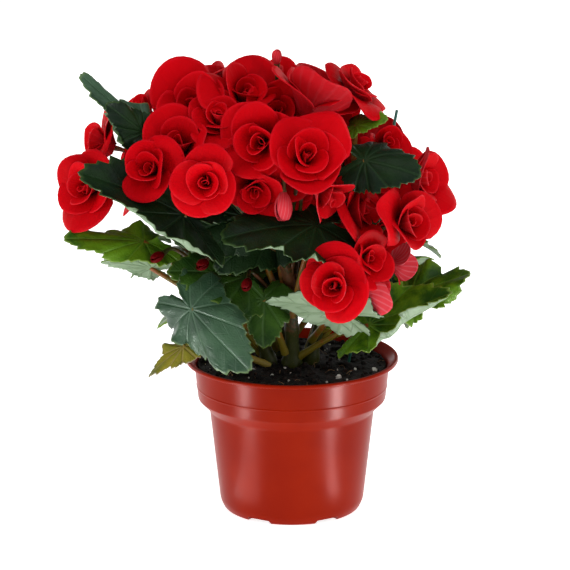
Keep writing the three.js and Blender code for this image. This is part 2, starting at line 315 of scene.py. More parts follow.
@dataclass
class Spine:
    """Smooth curve through points, with its length measured."""

    points: Sequence[Point]
    samples: int = 24
    least_step: float = 1e-4

    def __post_init__(self) -> None:
        """Samples the curve once."""
        knots = [np.array(p, float) for p in self.points]
        knots = [2 * knots[0] - knots[1], *knots, 2 * knots[-1] - knots[-2]]
        line = [knots[1]]
        for a, b, c, d in zip(knots, knots[1:], knots[2:], knots[3:]):
            pairs = ((a, b), (b, c), (c, d))
            before, here, after = (
                max(np.linalg.norm(q - p) ** 0.5, self.least_step) for p, q in pairs
            )
            leave = (b - a) / before - (c - a) / (before + here) + (c - b) / here
            arrive = (c - b) / here - (d - b) / (here + after) + (d - c) / after
            leave, arrive = leave * here, arrive * here
            for k in range(1, self.samples + 1):
                t = k / self.samples
                line.append(
                    b * (2 * t**3 - 3 * t**2 + 1) + leave * (t**3 - 2 * t**2 + t)
                    + c * (3 * t**2 - 2 * t**3) + arrive * (t**3 - t**2)
                )
        self.line = np.array(line)
        gaps = np.linalg.norm(np.diff(self.line, axis=0), axis=1)
        self.reach = np.concatenate([[0.0], np.cumsum(gaps)])

    @property
    def length(self) -> float:
        """Length along the curve."""
        return float(self.reach[-1])

    def at(self, share: Union[float, Array]) -> Array:
        """Point, or points, at a share of the curve's length."""
        where = np.asarray(share) * self.reach[-1]
        return np.stack([np.interp(where, self.reach, self.line[:, i]) for i in range(3)], -1)


def tube(name: str, line: Array, radii: Array, roundness: int = 2) -> Piece:
    """Round rod of changing thickness along a line.

    Args:
        name: Name for the piece.
        line: Points of its axis, in millimetres.
        radii: Radius at each point, in millimetres.
        roundness: Half the number of extra sides in each quarter.

    Returns:
        The rod as a mesh with closed ends.
    """
    curve = bpy.data.curves.new(name, "CURVE")
    curve.dimensions = "3D"
    curve.bevel_depth = MM
    curve.bevel_resolution = roundness
    curve.use_fill_caps = True
    spline = curve.splines.new("POLY")
    spline.points.add(len(line) - 1)
    flat = np.concatenate([np.asarray(line) * MM, np.ones((len(line), 1))], 1)
    spline.points.foreach_set("co", flat.ravel())
    spline.points.foreach_set("radius", np.asarray(radii, float))
    piece = bpy.data.objects.new(name, curve)
    bpy.context.scene.collection.objects.link(piece)
    pick(piece)
    bpy.ops.object.convert(target="MESH")
    return take(name)


def hand_in(piece: Piece, slot: str, *nodes: str) -> None:
    """Hangs a finished piece on the root body and hides the nodes that it stands for.

    Args:
        piece: The finished mesh object.
        slot: Not used.
        *nodes: Nodes that it stands for; none when it is an addition.
    """
    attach(piece, "root")
    if nodes:
        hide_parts(*nodes)


# ------------------------------------------------------------------ finishes


class Signal:
    """One shader output, on which Python's own signs add Math nodes."""

    def __init__(self, recipe: "Recipe", socket: bpy.types.NodeSocket) -> None:
        """Wraps an output of a recipe's node."""
        self.recipe = recipe
        self.socket = socket

    def math(self, operation: str, *others: Any) -> "Signal":
        """Adds one Math node with this signal as its first value."""
        return self.recipe.math(operation, self, *others)

    def __add__(self, other: Any) -> "Signal":
        """Sum."""
        return self.math("ADD", other)

    def __mul__(self, other: Any) -> "Signal":
        """Product."""
        return self.math("MULTIPLY", other)

    __radd__, __rmul__ = __add__, __mul__

    def __sub__(self, other: Any) -> "Signal":
        """Difference."""
        return self.math("SUBTRACT", other)

    def __rsub__(self, other: Any) -> "Signal":
        """Difference from a number."""
        return self.recipe.math("SUBTRACT", other, self)

    def __pow__(self, other: Any) -> "Signal":
        """Power."""
        return self.math("POWER", other)

    def __abs__(self) -> "Signal":
        """Size without sign."""
        return self.math("ABSOLUTE")

    def between(self, low: float, high: float) -> "Signal":
        """Smooth step over a range.

        Args:
            low: Value that gives 0.
            high: Value that gives 1; it may be the smaller of the two.

        Returns:
            The step, held at 0 and 1 outside the range.
        """
        return self.recipe.node(
            "ShaderNodeMapRange", {"interpolation_type": "SMOOTHSTEP", "clamp": True},
            {"Value": self, "From Min": low, "From Max": high},
        ).out("Result")


class Node:
    """A node of a recipe, read by the names of its outputs."""

    def __init__(self, recipe: "Recipe", node: bpy.types.Node) -> None:
        """Keeps the node with its recipe."""
        self.recipe = recipe
        self.node = node

    def out(self, name: Union[str, int]) -> Signal:
        """One output as a signal, by its identifier, name or number."""
        named = (socket for socket in self.node.outputs if socket.identifier == name)
        return Signal(self.recipe, next(named, None) or self.node.outputs[name])


class Recipe:
    """A node material while it is put together."""

    def __init__(self, name: str) -> None:
        """Starts an empty material.

        Args:
            name: Name of the material.
        """
        self.material = bpy.data.materials.new(name)
        self.material.use_nodes = True
        self.tree = self.material.node_tree
        self.tree.nodes.clear()
        self.places = self.node("ShaderNodeTexCoord")

    def node(
        self, kind: str, settings: Optional[dict] = None, inputs: Optional[dict] = None
    ) -> Node:
        """Adds a node.

        Args:
            kind: Blender's name of the node type.
            settings: Properties of the node, set first.
            inputs: Values, signals or colours by socket name, identifier or number.

        Returns:
            The node.
        """
        node = self.tree.nodes.new(kind)
        for key, value in (settings or {}).items():
            setattr(node, key, value)
        for key, value in (inputs or {}).items():
            socket = next((s for s in node.inputs if s.identifier == key), None)
            socket = socket or node.inputs[key]
            if isinstance(value, Signal):
                self.tree.links.new(value.socket, socket)
            elif isinstance(value, tuple) and socket.type == "RGBA":
                socket.default_value = (*value, 1.0)
            else:
                socket.default_value = value
        return Node(self, node)

    def math(self, operation: str, *values: Any) -> Signal:
        """Adds a Math node over signals and numbers."""
        node = self.node("ShaderNodeMath", {"operation": operation}, dict(enumerate(values)))
        return node.out(0)

    def mix(self, share: Any, first: Any, second: Any) -> Signal:
        """Blends two colours.

        Args:
            share: Share of the second colour, 0 to 1.
            first: First colour.
            second: Second colour.

        Returns:
            The blended colour.
        """
        return self.node(
            "ShaderNodeMix", {"data_type": "RGBA"},
            {"Factor_Float": share, "A_Color": first, "B_Color": second},
        ).out("Result_Color")

    def tint(self, colour: Any, bright: Any) -> Signal:
        """Makes a colour brighter or darker by a factor."""
        node = self.node("ShaderNodeHueSaturation", None, {"Value": bright, "Color": colour})
        return node.out("Color")

    def noise(self, scale: float, detail: float = 3.0, rough: float = 0.55) -> Signal:
        """Cloudy pattern fixed to the piece.

        Args:
            scale: About how many clouds there are in a metre.
            detail: Finer layers added to them.
            rough: Strength of the finer layers.

        Returns:
            Values from 0 to 1.
        """
        return self.node(
            "ShaderNodeTexNoise", None,
            {"Vector": self.places.out("Object"), "Scale": scale, "Detail": detail,
             "Roughness": rough},
        ).out(0)

    def cells(self, scale: float, feature: str = "F1") -> Signal:
        """Pattern of small cells fixed to the piece.

        Args:
            scale: About how many cells there are in a metre.
            feature: What the distance is measured to.

        Returns:
            The distance, as a share of a cell.
        """
        return self.node(
            "ShaderNodeTexVoronoi", {"feature": feature},
            {"Vector": self.places.out("Object"), "Scale": scale},
        ).out("Distance")

    def split(self, which: str) -> Tuple[Signal, Signal, Signal]:
        """The three parts of a texture coordinate, "Object" or "UV"."""
        parts = self.node("ShaderNodeSeparateXYZ", None, {"Vector": self.places.out(which)})
        return parts.out("X"), parts.out("Y"), parts.out("Z")

    def mark(self, name: str) -> Signal:
        """A number that the mesh carries under a name."""
        return self.node("ShaderNodeAttribute", {"attribute_name": name}).out("Fac")

    def bump(self, height: Signal, depth: float) -> Signal:
        """Relief from a height pattern, one unit of which is a depth in millimetres."""
        inputs = {"Height": height, "Strength": 1.0, "Distance": depth * MM}
        return self.node("ShaderNodeBump", None, inputs).out("Normal")

    def vein_lines(
        self, clouds: Signal, midrib: Tuple[float, float], side_veins: Tuple[float, float],
        strength: float,
    ) -> Signal:
        """Main and side veins of a leaf, from the distances that its UV map holds.

        Args:
            clouds: Pattern that makes the side veins wander.
            midrib: Distances from a main vein, in millimetres, where it has faded and is full.
            side_veins: Wave heights where a side vein starts and is full.
            strength: Strength of the side veins beside the main ones.

        Returns:
            1 on a vein and 0 beside it.
        """
        along, off, _ = self.split("UV")
        along, off = along * UV_SPAN, off * UV_SPAN
        wave = ((along - off * VEIN_SLANT) * VEIN_PACE + clouds * 1.5).math("SINE")
        lines = off.between(*midrib) + wave.between(*side_veins) * strength
        return lines.math("MINIMUM", 1.0)

    def surface(self, **sockets: Any) -> Material:
        """Ends the recipe with its shader.

        Args:
            **sockets: Shader sockets, with _ for a space in their names.

        Returns:
            The finished material.
        """
        inputs = {key.replace("_", " "): value for key, value in sockets.items()}
        shader = self.node("ShaderNodeBsdfPrincipled", None, inputs)
        self.node("ShaderNodeOutputMaterial", None, {"Surface": shader.out("BSDF")})
        return self.material


@dataclass(frozen=True)
class MouldedPlastic:
    """Glossy terracotta-coloured plastic of the pot."""

    colour: Colour = (0.262, 0.0092, 0.0002)
    worn: Colour = (0.300, 0.0125, 0.0006)
    roughness: float = 0.25
    handled_roughness: float = 0.5
    handled_from: float = -4.0
    handled_to: float = 18.0
    relief: float = 0.012

    def material(self) -> Material:
        """Plastic with faint flow clouds and fine scuffs, handled dull at its back.

        Returns:
            The material of the pot.
        """
        recipe = Recipe("terracotta_plastic")
        _, depth, _ = recipe.split("Object")
        handled = depth.between(self.handled_from * MM, self.handled_to * MM)
        clouds = recipe.noise(28, 3)
        scuffs = recipe.noise(420, 4, 0.7).between(0.62, 0.75)
        grain = recipe.noise(2400, 2)
        uneven = clouds * 0.08 + scuffs * 0.06 + handled * self.handled_roughness
        return recipe.surface(
            Base_Color=recipe.mix(clouds.between(0.35, 0.7), self.colour, self.worn),
            Roughness=uneven + self.roughness,
            Normal=recipe.bump(grain + clouds * 2.0, self.relief),
            Specular_IOR_Level=0.055,
        )


@dataclass(frozen=True)
class PottingMix:
    """Damp dark peat with reddish-brown crumbs."""

    dark: Colour = (0.0035, 0.0022, 0.0018)
    crumb: Colour = (0.040, 0.014, 0.008)
    relief: float = 0.9

    def material(self) -> Material:
        """Crumbly earth, darker in the sunken edges between its crumb cells.

        Returns:
            The material of the soil and its crumbs.
        """
        recipe = Recipe("potting_mix")
        patches = recipe.noise(120, 5, 0.65)
        crumbs = recipe.cells(520)
        fine = recipe.noise(1500, 4, 0.7)
        share = (patches * 0.7 + fine * 0.5 - crumbs * 0.3).between(0.42, 0.78)
        return recipe.surface(
            Base_Color=recipe.mix(share, self.dark, self.crumb),
            Roughness=0.75 + fine * 0.3,
            Normal=recipe.bump(fine * 0.6 + (1.0 - crumbs), self.relief),
            Specular_IOR_Level=0.3,
        )


@dataclass(frozen=True)
class Grit:
    """White volcanic grains and pale root fibres in the soil."""

    name: str = "white_grit"
    colour: Colour = (0.62, 0.60, 0.55)
    stain: Colour = (0.16, 0.10, 0.07)
    relief: float = 0.4

    def material(self) -> Material:
        """Chalky surface with stained pits.

        Returns:
            The material of the grains or fibres.
        """
        recipe = Recipe(self.name)
        stains = recipe.noise(900, 4)
        return recipe.surface(
            Base_Color=recipe.mix(stains.between(0.45, 0.7), self.colour, self.stain),
            Roughness=0.9,
            Normal=recipe.bump(stains, self.relief),
        )


@dataclass(frozen=True)
class StickPaint:
    """Green plastic of the flower stick."""

    colour: Colour = (0.008, 0.075, 0.060)
    edge: Colour = (0.020, 0.120, 0.090)
    relief: float = 0.08

    def material(self) -> Material:
        """Dull green with faint cloudy marks.

        Returns:
            The material of the stick.
        """
        recipe = Recipe("stick_green")
        marks = recipe.noise(600, 3)
        return recipe.surface(
            Base_Color=recipe.mix(marks, self.colour, self.edge),
            Roughness=marks * 0.2 + 0.35,
            Normal=recipe.bump(marks, self.relief),
        )


class StemKind(Enum):
    """Which kind of stem a finish is for."""

    TRUNK = "trunk"
    LEAF_STALK = "leaf_stalk"
    DRY_STALK = "dry_stalk"


@dataclass(frozen=True)
class StemSkin:
    """Juicy stem skin, from green to reddish brown."""

    kind: StemKind
    green_below: float = 96.0
    flushed_above: float = 120.0
    relief: float = 0.25

    def palette(self) -> Tuple[Colour, Colour, Colour]:
        """Green, flushed and speck colours of this kind.

        Returns:
            The three colours.
        """
        return {
            StemKind.TRUNK: ((0.030, 0.038, 0.003), (0.140, 0.050, 0.018), (0.26, 0.15, 0.07)),
            StemKind.LEAF_STALK: ((0.160, 0.125, 0.008), (0.260, 0.070, 0.010), (0.32, 0.26, 0.06)),
            StemKind.DRY_STALK: ((0.300, 0.220, 0.040), (0.220, 0.100, 0.030), (0.42, 0.34, 0.18)),
        }[self.kind]

    def material(self) -> Material:
        """Skin with streaks, pale specks and a soft gloss, greener near the soil.

        Returns:
            The material for this kind of stem.
        """
        green, flush, speck = self.palette()
        recipe = Recipe(f"stem_{self.kind.value}")
        clouds = recipe.noise(70, 4)
        streaks = recipe.noise(520, 3)
        specks = recipe.cells(700).between(0.18, 0.08)
        _, _, height = recipe.split("Object")
        low = height.between(self.flushed_above * MM, self.green_below * MM)
        share = (clouds + (streaks - 0.5) * 0.5 - low * 0.35).between(0.36, 0.62)
        return recipe.surface(
            Base_Color=recipe.mix(specks * 0.35, recipe.mix(share, green, flush), speck),
            Roughness=0.38 + streaks * 0.22,
            Specular_IOR_Level=0.22,
            Normal=recipe.bump(streaks + clouds * 0.5, self.relief),
            Subsurface_Weight=0.12,
            Subsurface_Scale=0.003,
            Subsurface_Radius=(1.0, 0.5, 0.2),
        )


class PetalSide(Enum):
    """The two faces of a petal."""

    FACE = "face"
    BACK = "back"


@dataclass(frozen=True)
class PetalVelvet:
    """Saturated red petal skin, with painted shade towards the claw and a painted highlight on the
    margin.
    """

    side: PetalSide
    bright: Colour = (0.610, 0.0008, 0.005)
    # deep is the painted shade near the claw; edge is the painted highlight on the margin, and also
    # reddens the back.
    deep: Colour = (0.180, 0.0002, 0.002)
    edge: Colour = (0.800, 0.0110, 0.024)
    pink: Colour = (0.850, 0.2400, 0.290)
    veins: float = 58.0
    lost_veins: float = 16.0
    face_relief: float = 0.12
    back_relief: float = 0.16

    def material(self) -> Material:
        """Velvet with fanned veins, painted shade darkening it towards the claw and a painted
        highlight paling its margin.

        Returns:
            The material for this side of the petals.
        """
        recipe = Recipe(f"petal_{self.side.value}")
        on_face = self.side is PetalSide.FACE
        across, along, _ = recipe.split("UV")
        tone, blush = recipe.mark("tone"), recipe.mark("blush")
        clouds = recipe.noise(110, 3)
        side = abs(across - 0.5) * 2.0
        fan = (across - 0.5) * (self.veins - along * self.lost_veins)
        ridges = (fan + clouds * 1.6).math("SINE").between(0.35, 1.0)
        # 0 in the painted shade at the claw and 1 where the petal is painted lit, with clouds of
        # random tone.
        painted_light_share = (along * 0.9 + clouds * 0.70).between(0.30, 1.05)
        # Painted highlight along the sides and tip of each petal's face.
        rim = (side ** 4.0 * 0.6 + along ** 9.0).between(0.45, 1.0)
        red = recipe.mix(painted_light_share, self.deep, self.bright)
        if on_face:
            red = recipe.mix(rim * 0.35, red, self.edge)
            # Veins show darker only in the painted shade near the claw.
            red = recipe.mix(ridges * 0.12 * (1.0 - painted_light_share), red, self.deep)
        else:
            rosy = recipe.mix(0.30, red, self.edge)
            pale = recipe.mix(ridges * 0.45 + 0.30, self.edge, self.pink)
            red = recipe.mix(blush * (0.35 + painted_light_share * 0.65), rosy, pale)
        height = ridges * 0.5 + recipe.noise(2600, 2) * 0.7 + clouds * 1.4
        return recipe.surface(
            # tone sets each petal's brightness: at random, and as painted shade on the buds under
            # the leaves.
            Base_Color=recipe.tint(red, tone),
            Roughness=0.50 + clouds * 0.16,
            Normal=recipe.bump(height, self.face_relief if on_face else self.back_relief),
            Specular_IOR_Level=0.03,
            Sheen_Weight=0.02,
            Sheen_Roughness=0.3,
            Sheen_Tint=(1.0, 0.05, 0.06),
            Subsurface_Weight=0.10,
            Subsurface_Scale=0.002,
            Subsurface_Radius=(1.0, 0.05, 0.05),
        )


class LeafTone(Enum):
    """How a leaf's upper side looks: each tone but the dry one is one green painted as shaded, half
    shaded or lit, or tinted bluish as a painted reflection.
    """

    # Painted shade, painted half shade, painted light and a painted bluish reflection; the dry tone
    # is a real withered leaf.
    DARK = "dark"
    PAINTED_HALF_SHADE = "mid"
    PAINTED_LIGHT = "bright"
    PAINTED_SHEEN = "sheen"
    DRY = "dry"


@dataclass(frozen=True)
class LeafSkin:
    """Waxy upper side of a leaf."""

    tone: LeafTone
    wax: float = 0.27
    dry_wax: float = 0.6
    margin: Tuple[float, float] = (0.955, 1.0)
    relief: float = 0.40

    def palette(self) -> Tuple[Colour, Colour, Colour, Colour]:
        """Blade, patch, vein and margin colours of this tone, darkened as painted shade, lightened
        as painted light, or tinted bluish as a painted reflection.

        Returns:
            The four colours.
        """
        return {
            LeafTone.DARK: (
                (0.0040, 0.0140, 0.0055), (0.0080, 0.0260, 0.0060),
                (0.0170, 0.0450, 0.0140), (0.0450, 0.0900, 0.0200),
            ),
            LeafTone.PAINTED_HALF_SHADE: (
                (0.0110, 0.0400, 0.0050), (0.0340, 0.0900, 0.0080),
                (0.0550, 0.1200, 0.0280), (0.1200, 0.1900, 0.0300),
            ),
            LeafTone.PAINTED_LIGHT: (
                (0.0180, 0.0760, 0.0030), (0.1150, 0.2450, 0.0080),
                (0.1300, 0.2700, 0.0300), (0.2000, 0.3000, 0.0400),
            ),
            LeafTone.PAINTED_SHEEN: (
                (0.0230, 0.0620, 0.0300), (0.0450, 0.1050, 0.0520),
                (0.1300, 0.2300, 0.1400), (0.1500, 0.2400, 0.0800),
            ),
            LeafTone.DRY: (
                (0.2700, 0.2300, 0.0200), (0.1300, 0.1500, 0.0150),
                (0.3400, 0.2500, 0.0900), (0.4200, 0.3600, 0.2600),
            ),
        }[self.tone]

    def material(self) -> Material:
        """Skin with pressed-in veins, quilted cells and patchy wax.

        Returns:
            The material for the upper side.
        """
        blade, patch, vein, margin = self.palette()
        # The tone with the painted reflection also has stronger real gloss and fainter veins.
        silky = self.tone is LeafTone.PAINTED_SHEEN
        recipe = Recipe(f"leaf_{self.tone.value}")
        clouds = recipe.noise(45, 4)
        fine = recipe.noise(900, 3)
        net = recipe.cells(420, "DISTANCE_TO_EDGE")
        lines = recipe.vein_lines(clouds, (1.1, 0.25), (0.93, 1.0), 0.25)
        colour = recipe.mix((clouds + fine * 0.12).between(0.42, 0.66), blade, patch)
        colour = recipe.mix(lines * (0.28 if silky else 0.5), colour, vein)
        colour = recipe.mix(recipe.mark("outer").between(*self.margin) * 0.7, colour, margin)
        height = net.between(0.0, 0.25) * 0.16 - lines * 1.0 + clouds * 1.2
        wax = self.dry_wax if self.tone is LeafTone.DRY else self.wax
        return recipe.surface(
            Base_Color=colour,
            Roughness=clouds * 0.22 + fine * 0.08 + wax,
            Normal=recipe.bump(height, self.relief),
            Specular_IOR_Level=0.30 if silky else 0.13,
        )


@dataclass(frozen=True)
class LeafUnderside:
    """Dull pale underside of a leaf, with raised veins."""

    dry: bool = False
    relief: float = 0.5

    def material(self) -> Material:
        """Matt pale green with darker raised veins.

        Returns:
            The material for the underside.
        """
        blade = (0.30, 0.25, 0.10) if self.dry else (0.250, 0.350, 0.215)
        shade = (0.20, 0.14, 0.06) if self.dry else (0.150, 0.240, 0.110)
        recipe = Recipe("leaf_under_dry" if self.dry else "leaf_under")
        clouds = recipe.noise(60, 3)
        lines = recipe.vein_lines(clouds, (1.4, 0.4), (0.86, 1.0), 0.8)
        colour = recipe.mix(clouds.between(0.35, 0.75) * 0.6, blade, shade)
        return recipe.surface(
            Base_Color=recipe.mix(lines * 0.55, colour, shade),
            Roughness=0.62 + clouds * 0.1,
            Normal=recipe.bump(lines + clouds * 0.4, self.relief),
            Specular_IOR_Level=0.3,
        )


@dataclass(frozen=True)
class StudioFloor:
    """Plain white table."""

    glow: float = 0.85
    white: Colour = (0.93, 0.93, 0.93)
    dimmer: Colour = (0.90, 0.90, 0.90)

    def material(self) -> Material:
        """Matt white with a very faint unevenness.

        Returns:
            The material of the table.
        """
        recipe = Recipe("white_table")
        return recipe.surface(
            Base_Color=recipe.mix(recipe.noise(2.0, 2), self.dimmer, self.white),
            Roughness=0.85,
            Specular_IOR_Level=0.1,
            Emission_Color=(1.0, 1.0, 1.0),
            Emission_Strength=self.glow,
        )


# ------------------------------------------------------------------ studio


@dataclass(frozen=True)
class SoftBox:
    """A soft light: centre and aim in metres, width and height in metres, and watts."""

    name: str
    place: Point
    aim: Point
    size: Tuple[float, float]
    power: float


@dataclass(frozen=True)
class TableCard:
    """A bright card on the table: its two ends and width in metres, and watts."""

    name: str
    near: Tuple[float, float]
    far: Tuple[float, float]
    width: float
    power: float


@dataclass
class Studio:
    """Camera, white table and soft lights."""

    target: Point = (-4.2, 0.0, 139.6)
    distance: float = 2000.0
    elevation: float = 15.0
    focal_pixels: float = 3300.0
    image_pixels: float = 570.0
    sensor: float = 36.0
    view_depth: float = 60.0
    table: float = 14.0
    table_cells: int = 8
    table_drop: float = 0.2
    side_angle: float = 57.0
    side_distance: float = 1.2
    side_height: float = 0.62
    side_size: Tuple[float, float] = (0.22, 1.2)
    side_power: float = 5.0
    card_height: float = 0.0006
    surround: Colour = (0.95, 0.97, 1.0)
    surround_strength: float = 0.16
    boxes: Sequence[SoftBox] = (
        SoftBox("top_box", (0.0, -0.5, 1.7), (0.0, 0.0, 0.2), (1.6, 1.2), 9.0),
        SoftBox("front_box", (0.0, -2.4, 1.5), (0.0, 0.0, 0.2), (1.2, 0.9), 4.0),
        SoftBox("left_back_box", (-0.9, 1.2, 0.4), (0.0, 0.0, 0.1), (1.4, 1.0), 10.0),
        SoftBox("right_back_box", (0.9, 1.2, 0.4), (0.0, 0.0, 0.1), (1.4, 1.0), 10.0),
    )
    cards: Sequence[TableCard] = (
        TableCard("left_near_card", (-0.052, -0.036), (-0.125, -0.088), 0.046, 0.10),
        TableCard("left_far_card", (-0.125, -0.095), (-0.260, -0.195), 0.034, 0.95),
        TableCard("right_near_card", (0.055, -0.046), (0.125, -0.108), 0.020, 0.13),
        TableCard("right_far_card", (0.125, -0.108), (0.250, -0.215), 0.034, 1.9),
    )

    def build(self) -> None:
        """Sets up everything that isn't the plant."""
        self.place_camera()
        self.lay_table()
        self.hang_lights()

    def place_camera(self) -> None:
        """Makes the scene's camera."""
        lens = bpy.data.cameras.new("camera")
        lens.sensor_width = self.sensor
        lens.lens = self.sensor * self.focal_pixels / self.image_pixels
        lens.clip_end = self.view_depth
        camera = bpy.data.objects.new("camera", lens)
        lift = math.radians(self.elevation)
        away = Vector((0.0, -math.cos(lift), math.sin(lift))) * self.distance
        camera.location = (Vector(self.target) + away) * MM
        camera.rotation_euler = (math.radians(90.0) - lift, 0.0, 0.0)
        bpy.context.scene.collection.objects.link(camera)
        bpy.context.scene.camera = camera

    def lay_table(self) -> None:
        """Adds the table top just under the pot."""
        deselect()
        cells = self.table_cells
        bpy.ops.mesh.primitive_grid_add(x_subdivisions=cells, y_subdivisions=cells, size=self.table)
        table = take("white_table")
        reshape(table, coordinates(table) - (0.0, 0.0, self.table_drop * MM))
        dress(table, StudioFloor().material())
        table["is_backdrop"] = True

    def soft_light(self, box: SoftBox) -> Piece:
        """Adds one soft light.

        Args:
            box: Its place, aim, size and power.

        Returns:
            The lamp.
        """
        data = bpy.data.lights.new(box.name, "AREA")
        data.shape = "RECTANGLE"
        data.size, data.size_y = box.size
        data.energy = box.power
        lamp = bpy.data.objects.new(box.name, data)
        lamp.location = box.place
        aim = Vector(box.aim) - Vector(box.place)
        lamp.rotation_euler = aim.to_track_quat("-Z", "Y").to_euler()
        bpy.context.scene.collection.objects.link(lamp)
        return lamp

    def table_card(self, card: TableCard) -> None:
        """Adds a bright card that lies on the table and shows only in the pot's gloss.

        Args:
            card: Its ends, width and power.
        """
        near, far = Vector(card.near), Vector(card.far)
        middle, run = (near + far) / 2, far - near
        place = (middle.x, middle.y, self.card_height)
        lamp = self.soft_light(
            SoftBox(card.name, place, (0.0, 0.0, 1.0), (run.length, card.width), card.power)
        )
        lamp.rotation_euler = (math.pi, 0.0, math.atan2(run.y, run.x))
        lamp.visible_camera = False
        lamp.visible_diffuse = False

    def hang_lights(self) -> None:
        """Two tall side boxes, the table cards, broad lights and an even surround."""
        angle = math.radians(self.side_angle)
        aim = (0.0, 0.0, self.side_height)
        for name, side in (("left_box", -1.0), ("right_box", 1.0)):
            away = side * self.side_distance * math.sin(angle)
            place = (away, -self.side_distance * math.cos(angle), self.side_height)
            self.soft_light(SoftBox(name, place, aim, self.side_size, self.side_power))
        for card in self.cards:
            self.table_card(card)
        for box in self.boxes:
            self.soft_light(box)
        world = bpy.data.worlds.new("surround")
        world.use_nodes = True
        back = world.node_tree.nodes["Background"]
        back.inputs["Color"].default_value = (*self.surround, 1.0)
        back.inputs["Strength"].default_value = self.surround_strength
        bpy.context.scene.world = world
        bpy.context.scene.view_settings.view_transform = "Standard"


# ------------------------------------------------------------------ pot, soil and stick


def rounded(corners: Sequence[Corner], steps: int = 5) -> list:
    """Outline with its corners turned into arcs.

    Args:
        corners: Radius, height and fillet radius of each corner, in millimetres.
        steps: Segments in each arc.

    Returns:
        Points (radius, height) along the outline.
    """
    line = [corners[0][:2]]
    for before, (r, z, fillet), after in zip(corners, corners[1:], corners[2:]):
        if fillet <= 0.0:
            line.append((r, z))
            continue
        here = Vector((r, z))
        one, two = Vector(before[:2]) - here, Vector(after[:2]) - here
        cut = min(fillet, 0.45 * one.length, 0.45 * two.length)
        start, end = here + one.normalized() * cut, here + two.normalized() * cut
        for k in range(steps + 1):
            t = k / steps
            spot = start * (1 - t) ** 2 + here * 2 * t * (1 - t) + end * t**2
            line.append((spot.x, spot.y))
    line.append(corners[-1][:2])
    return line


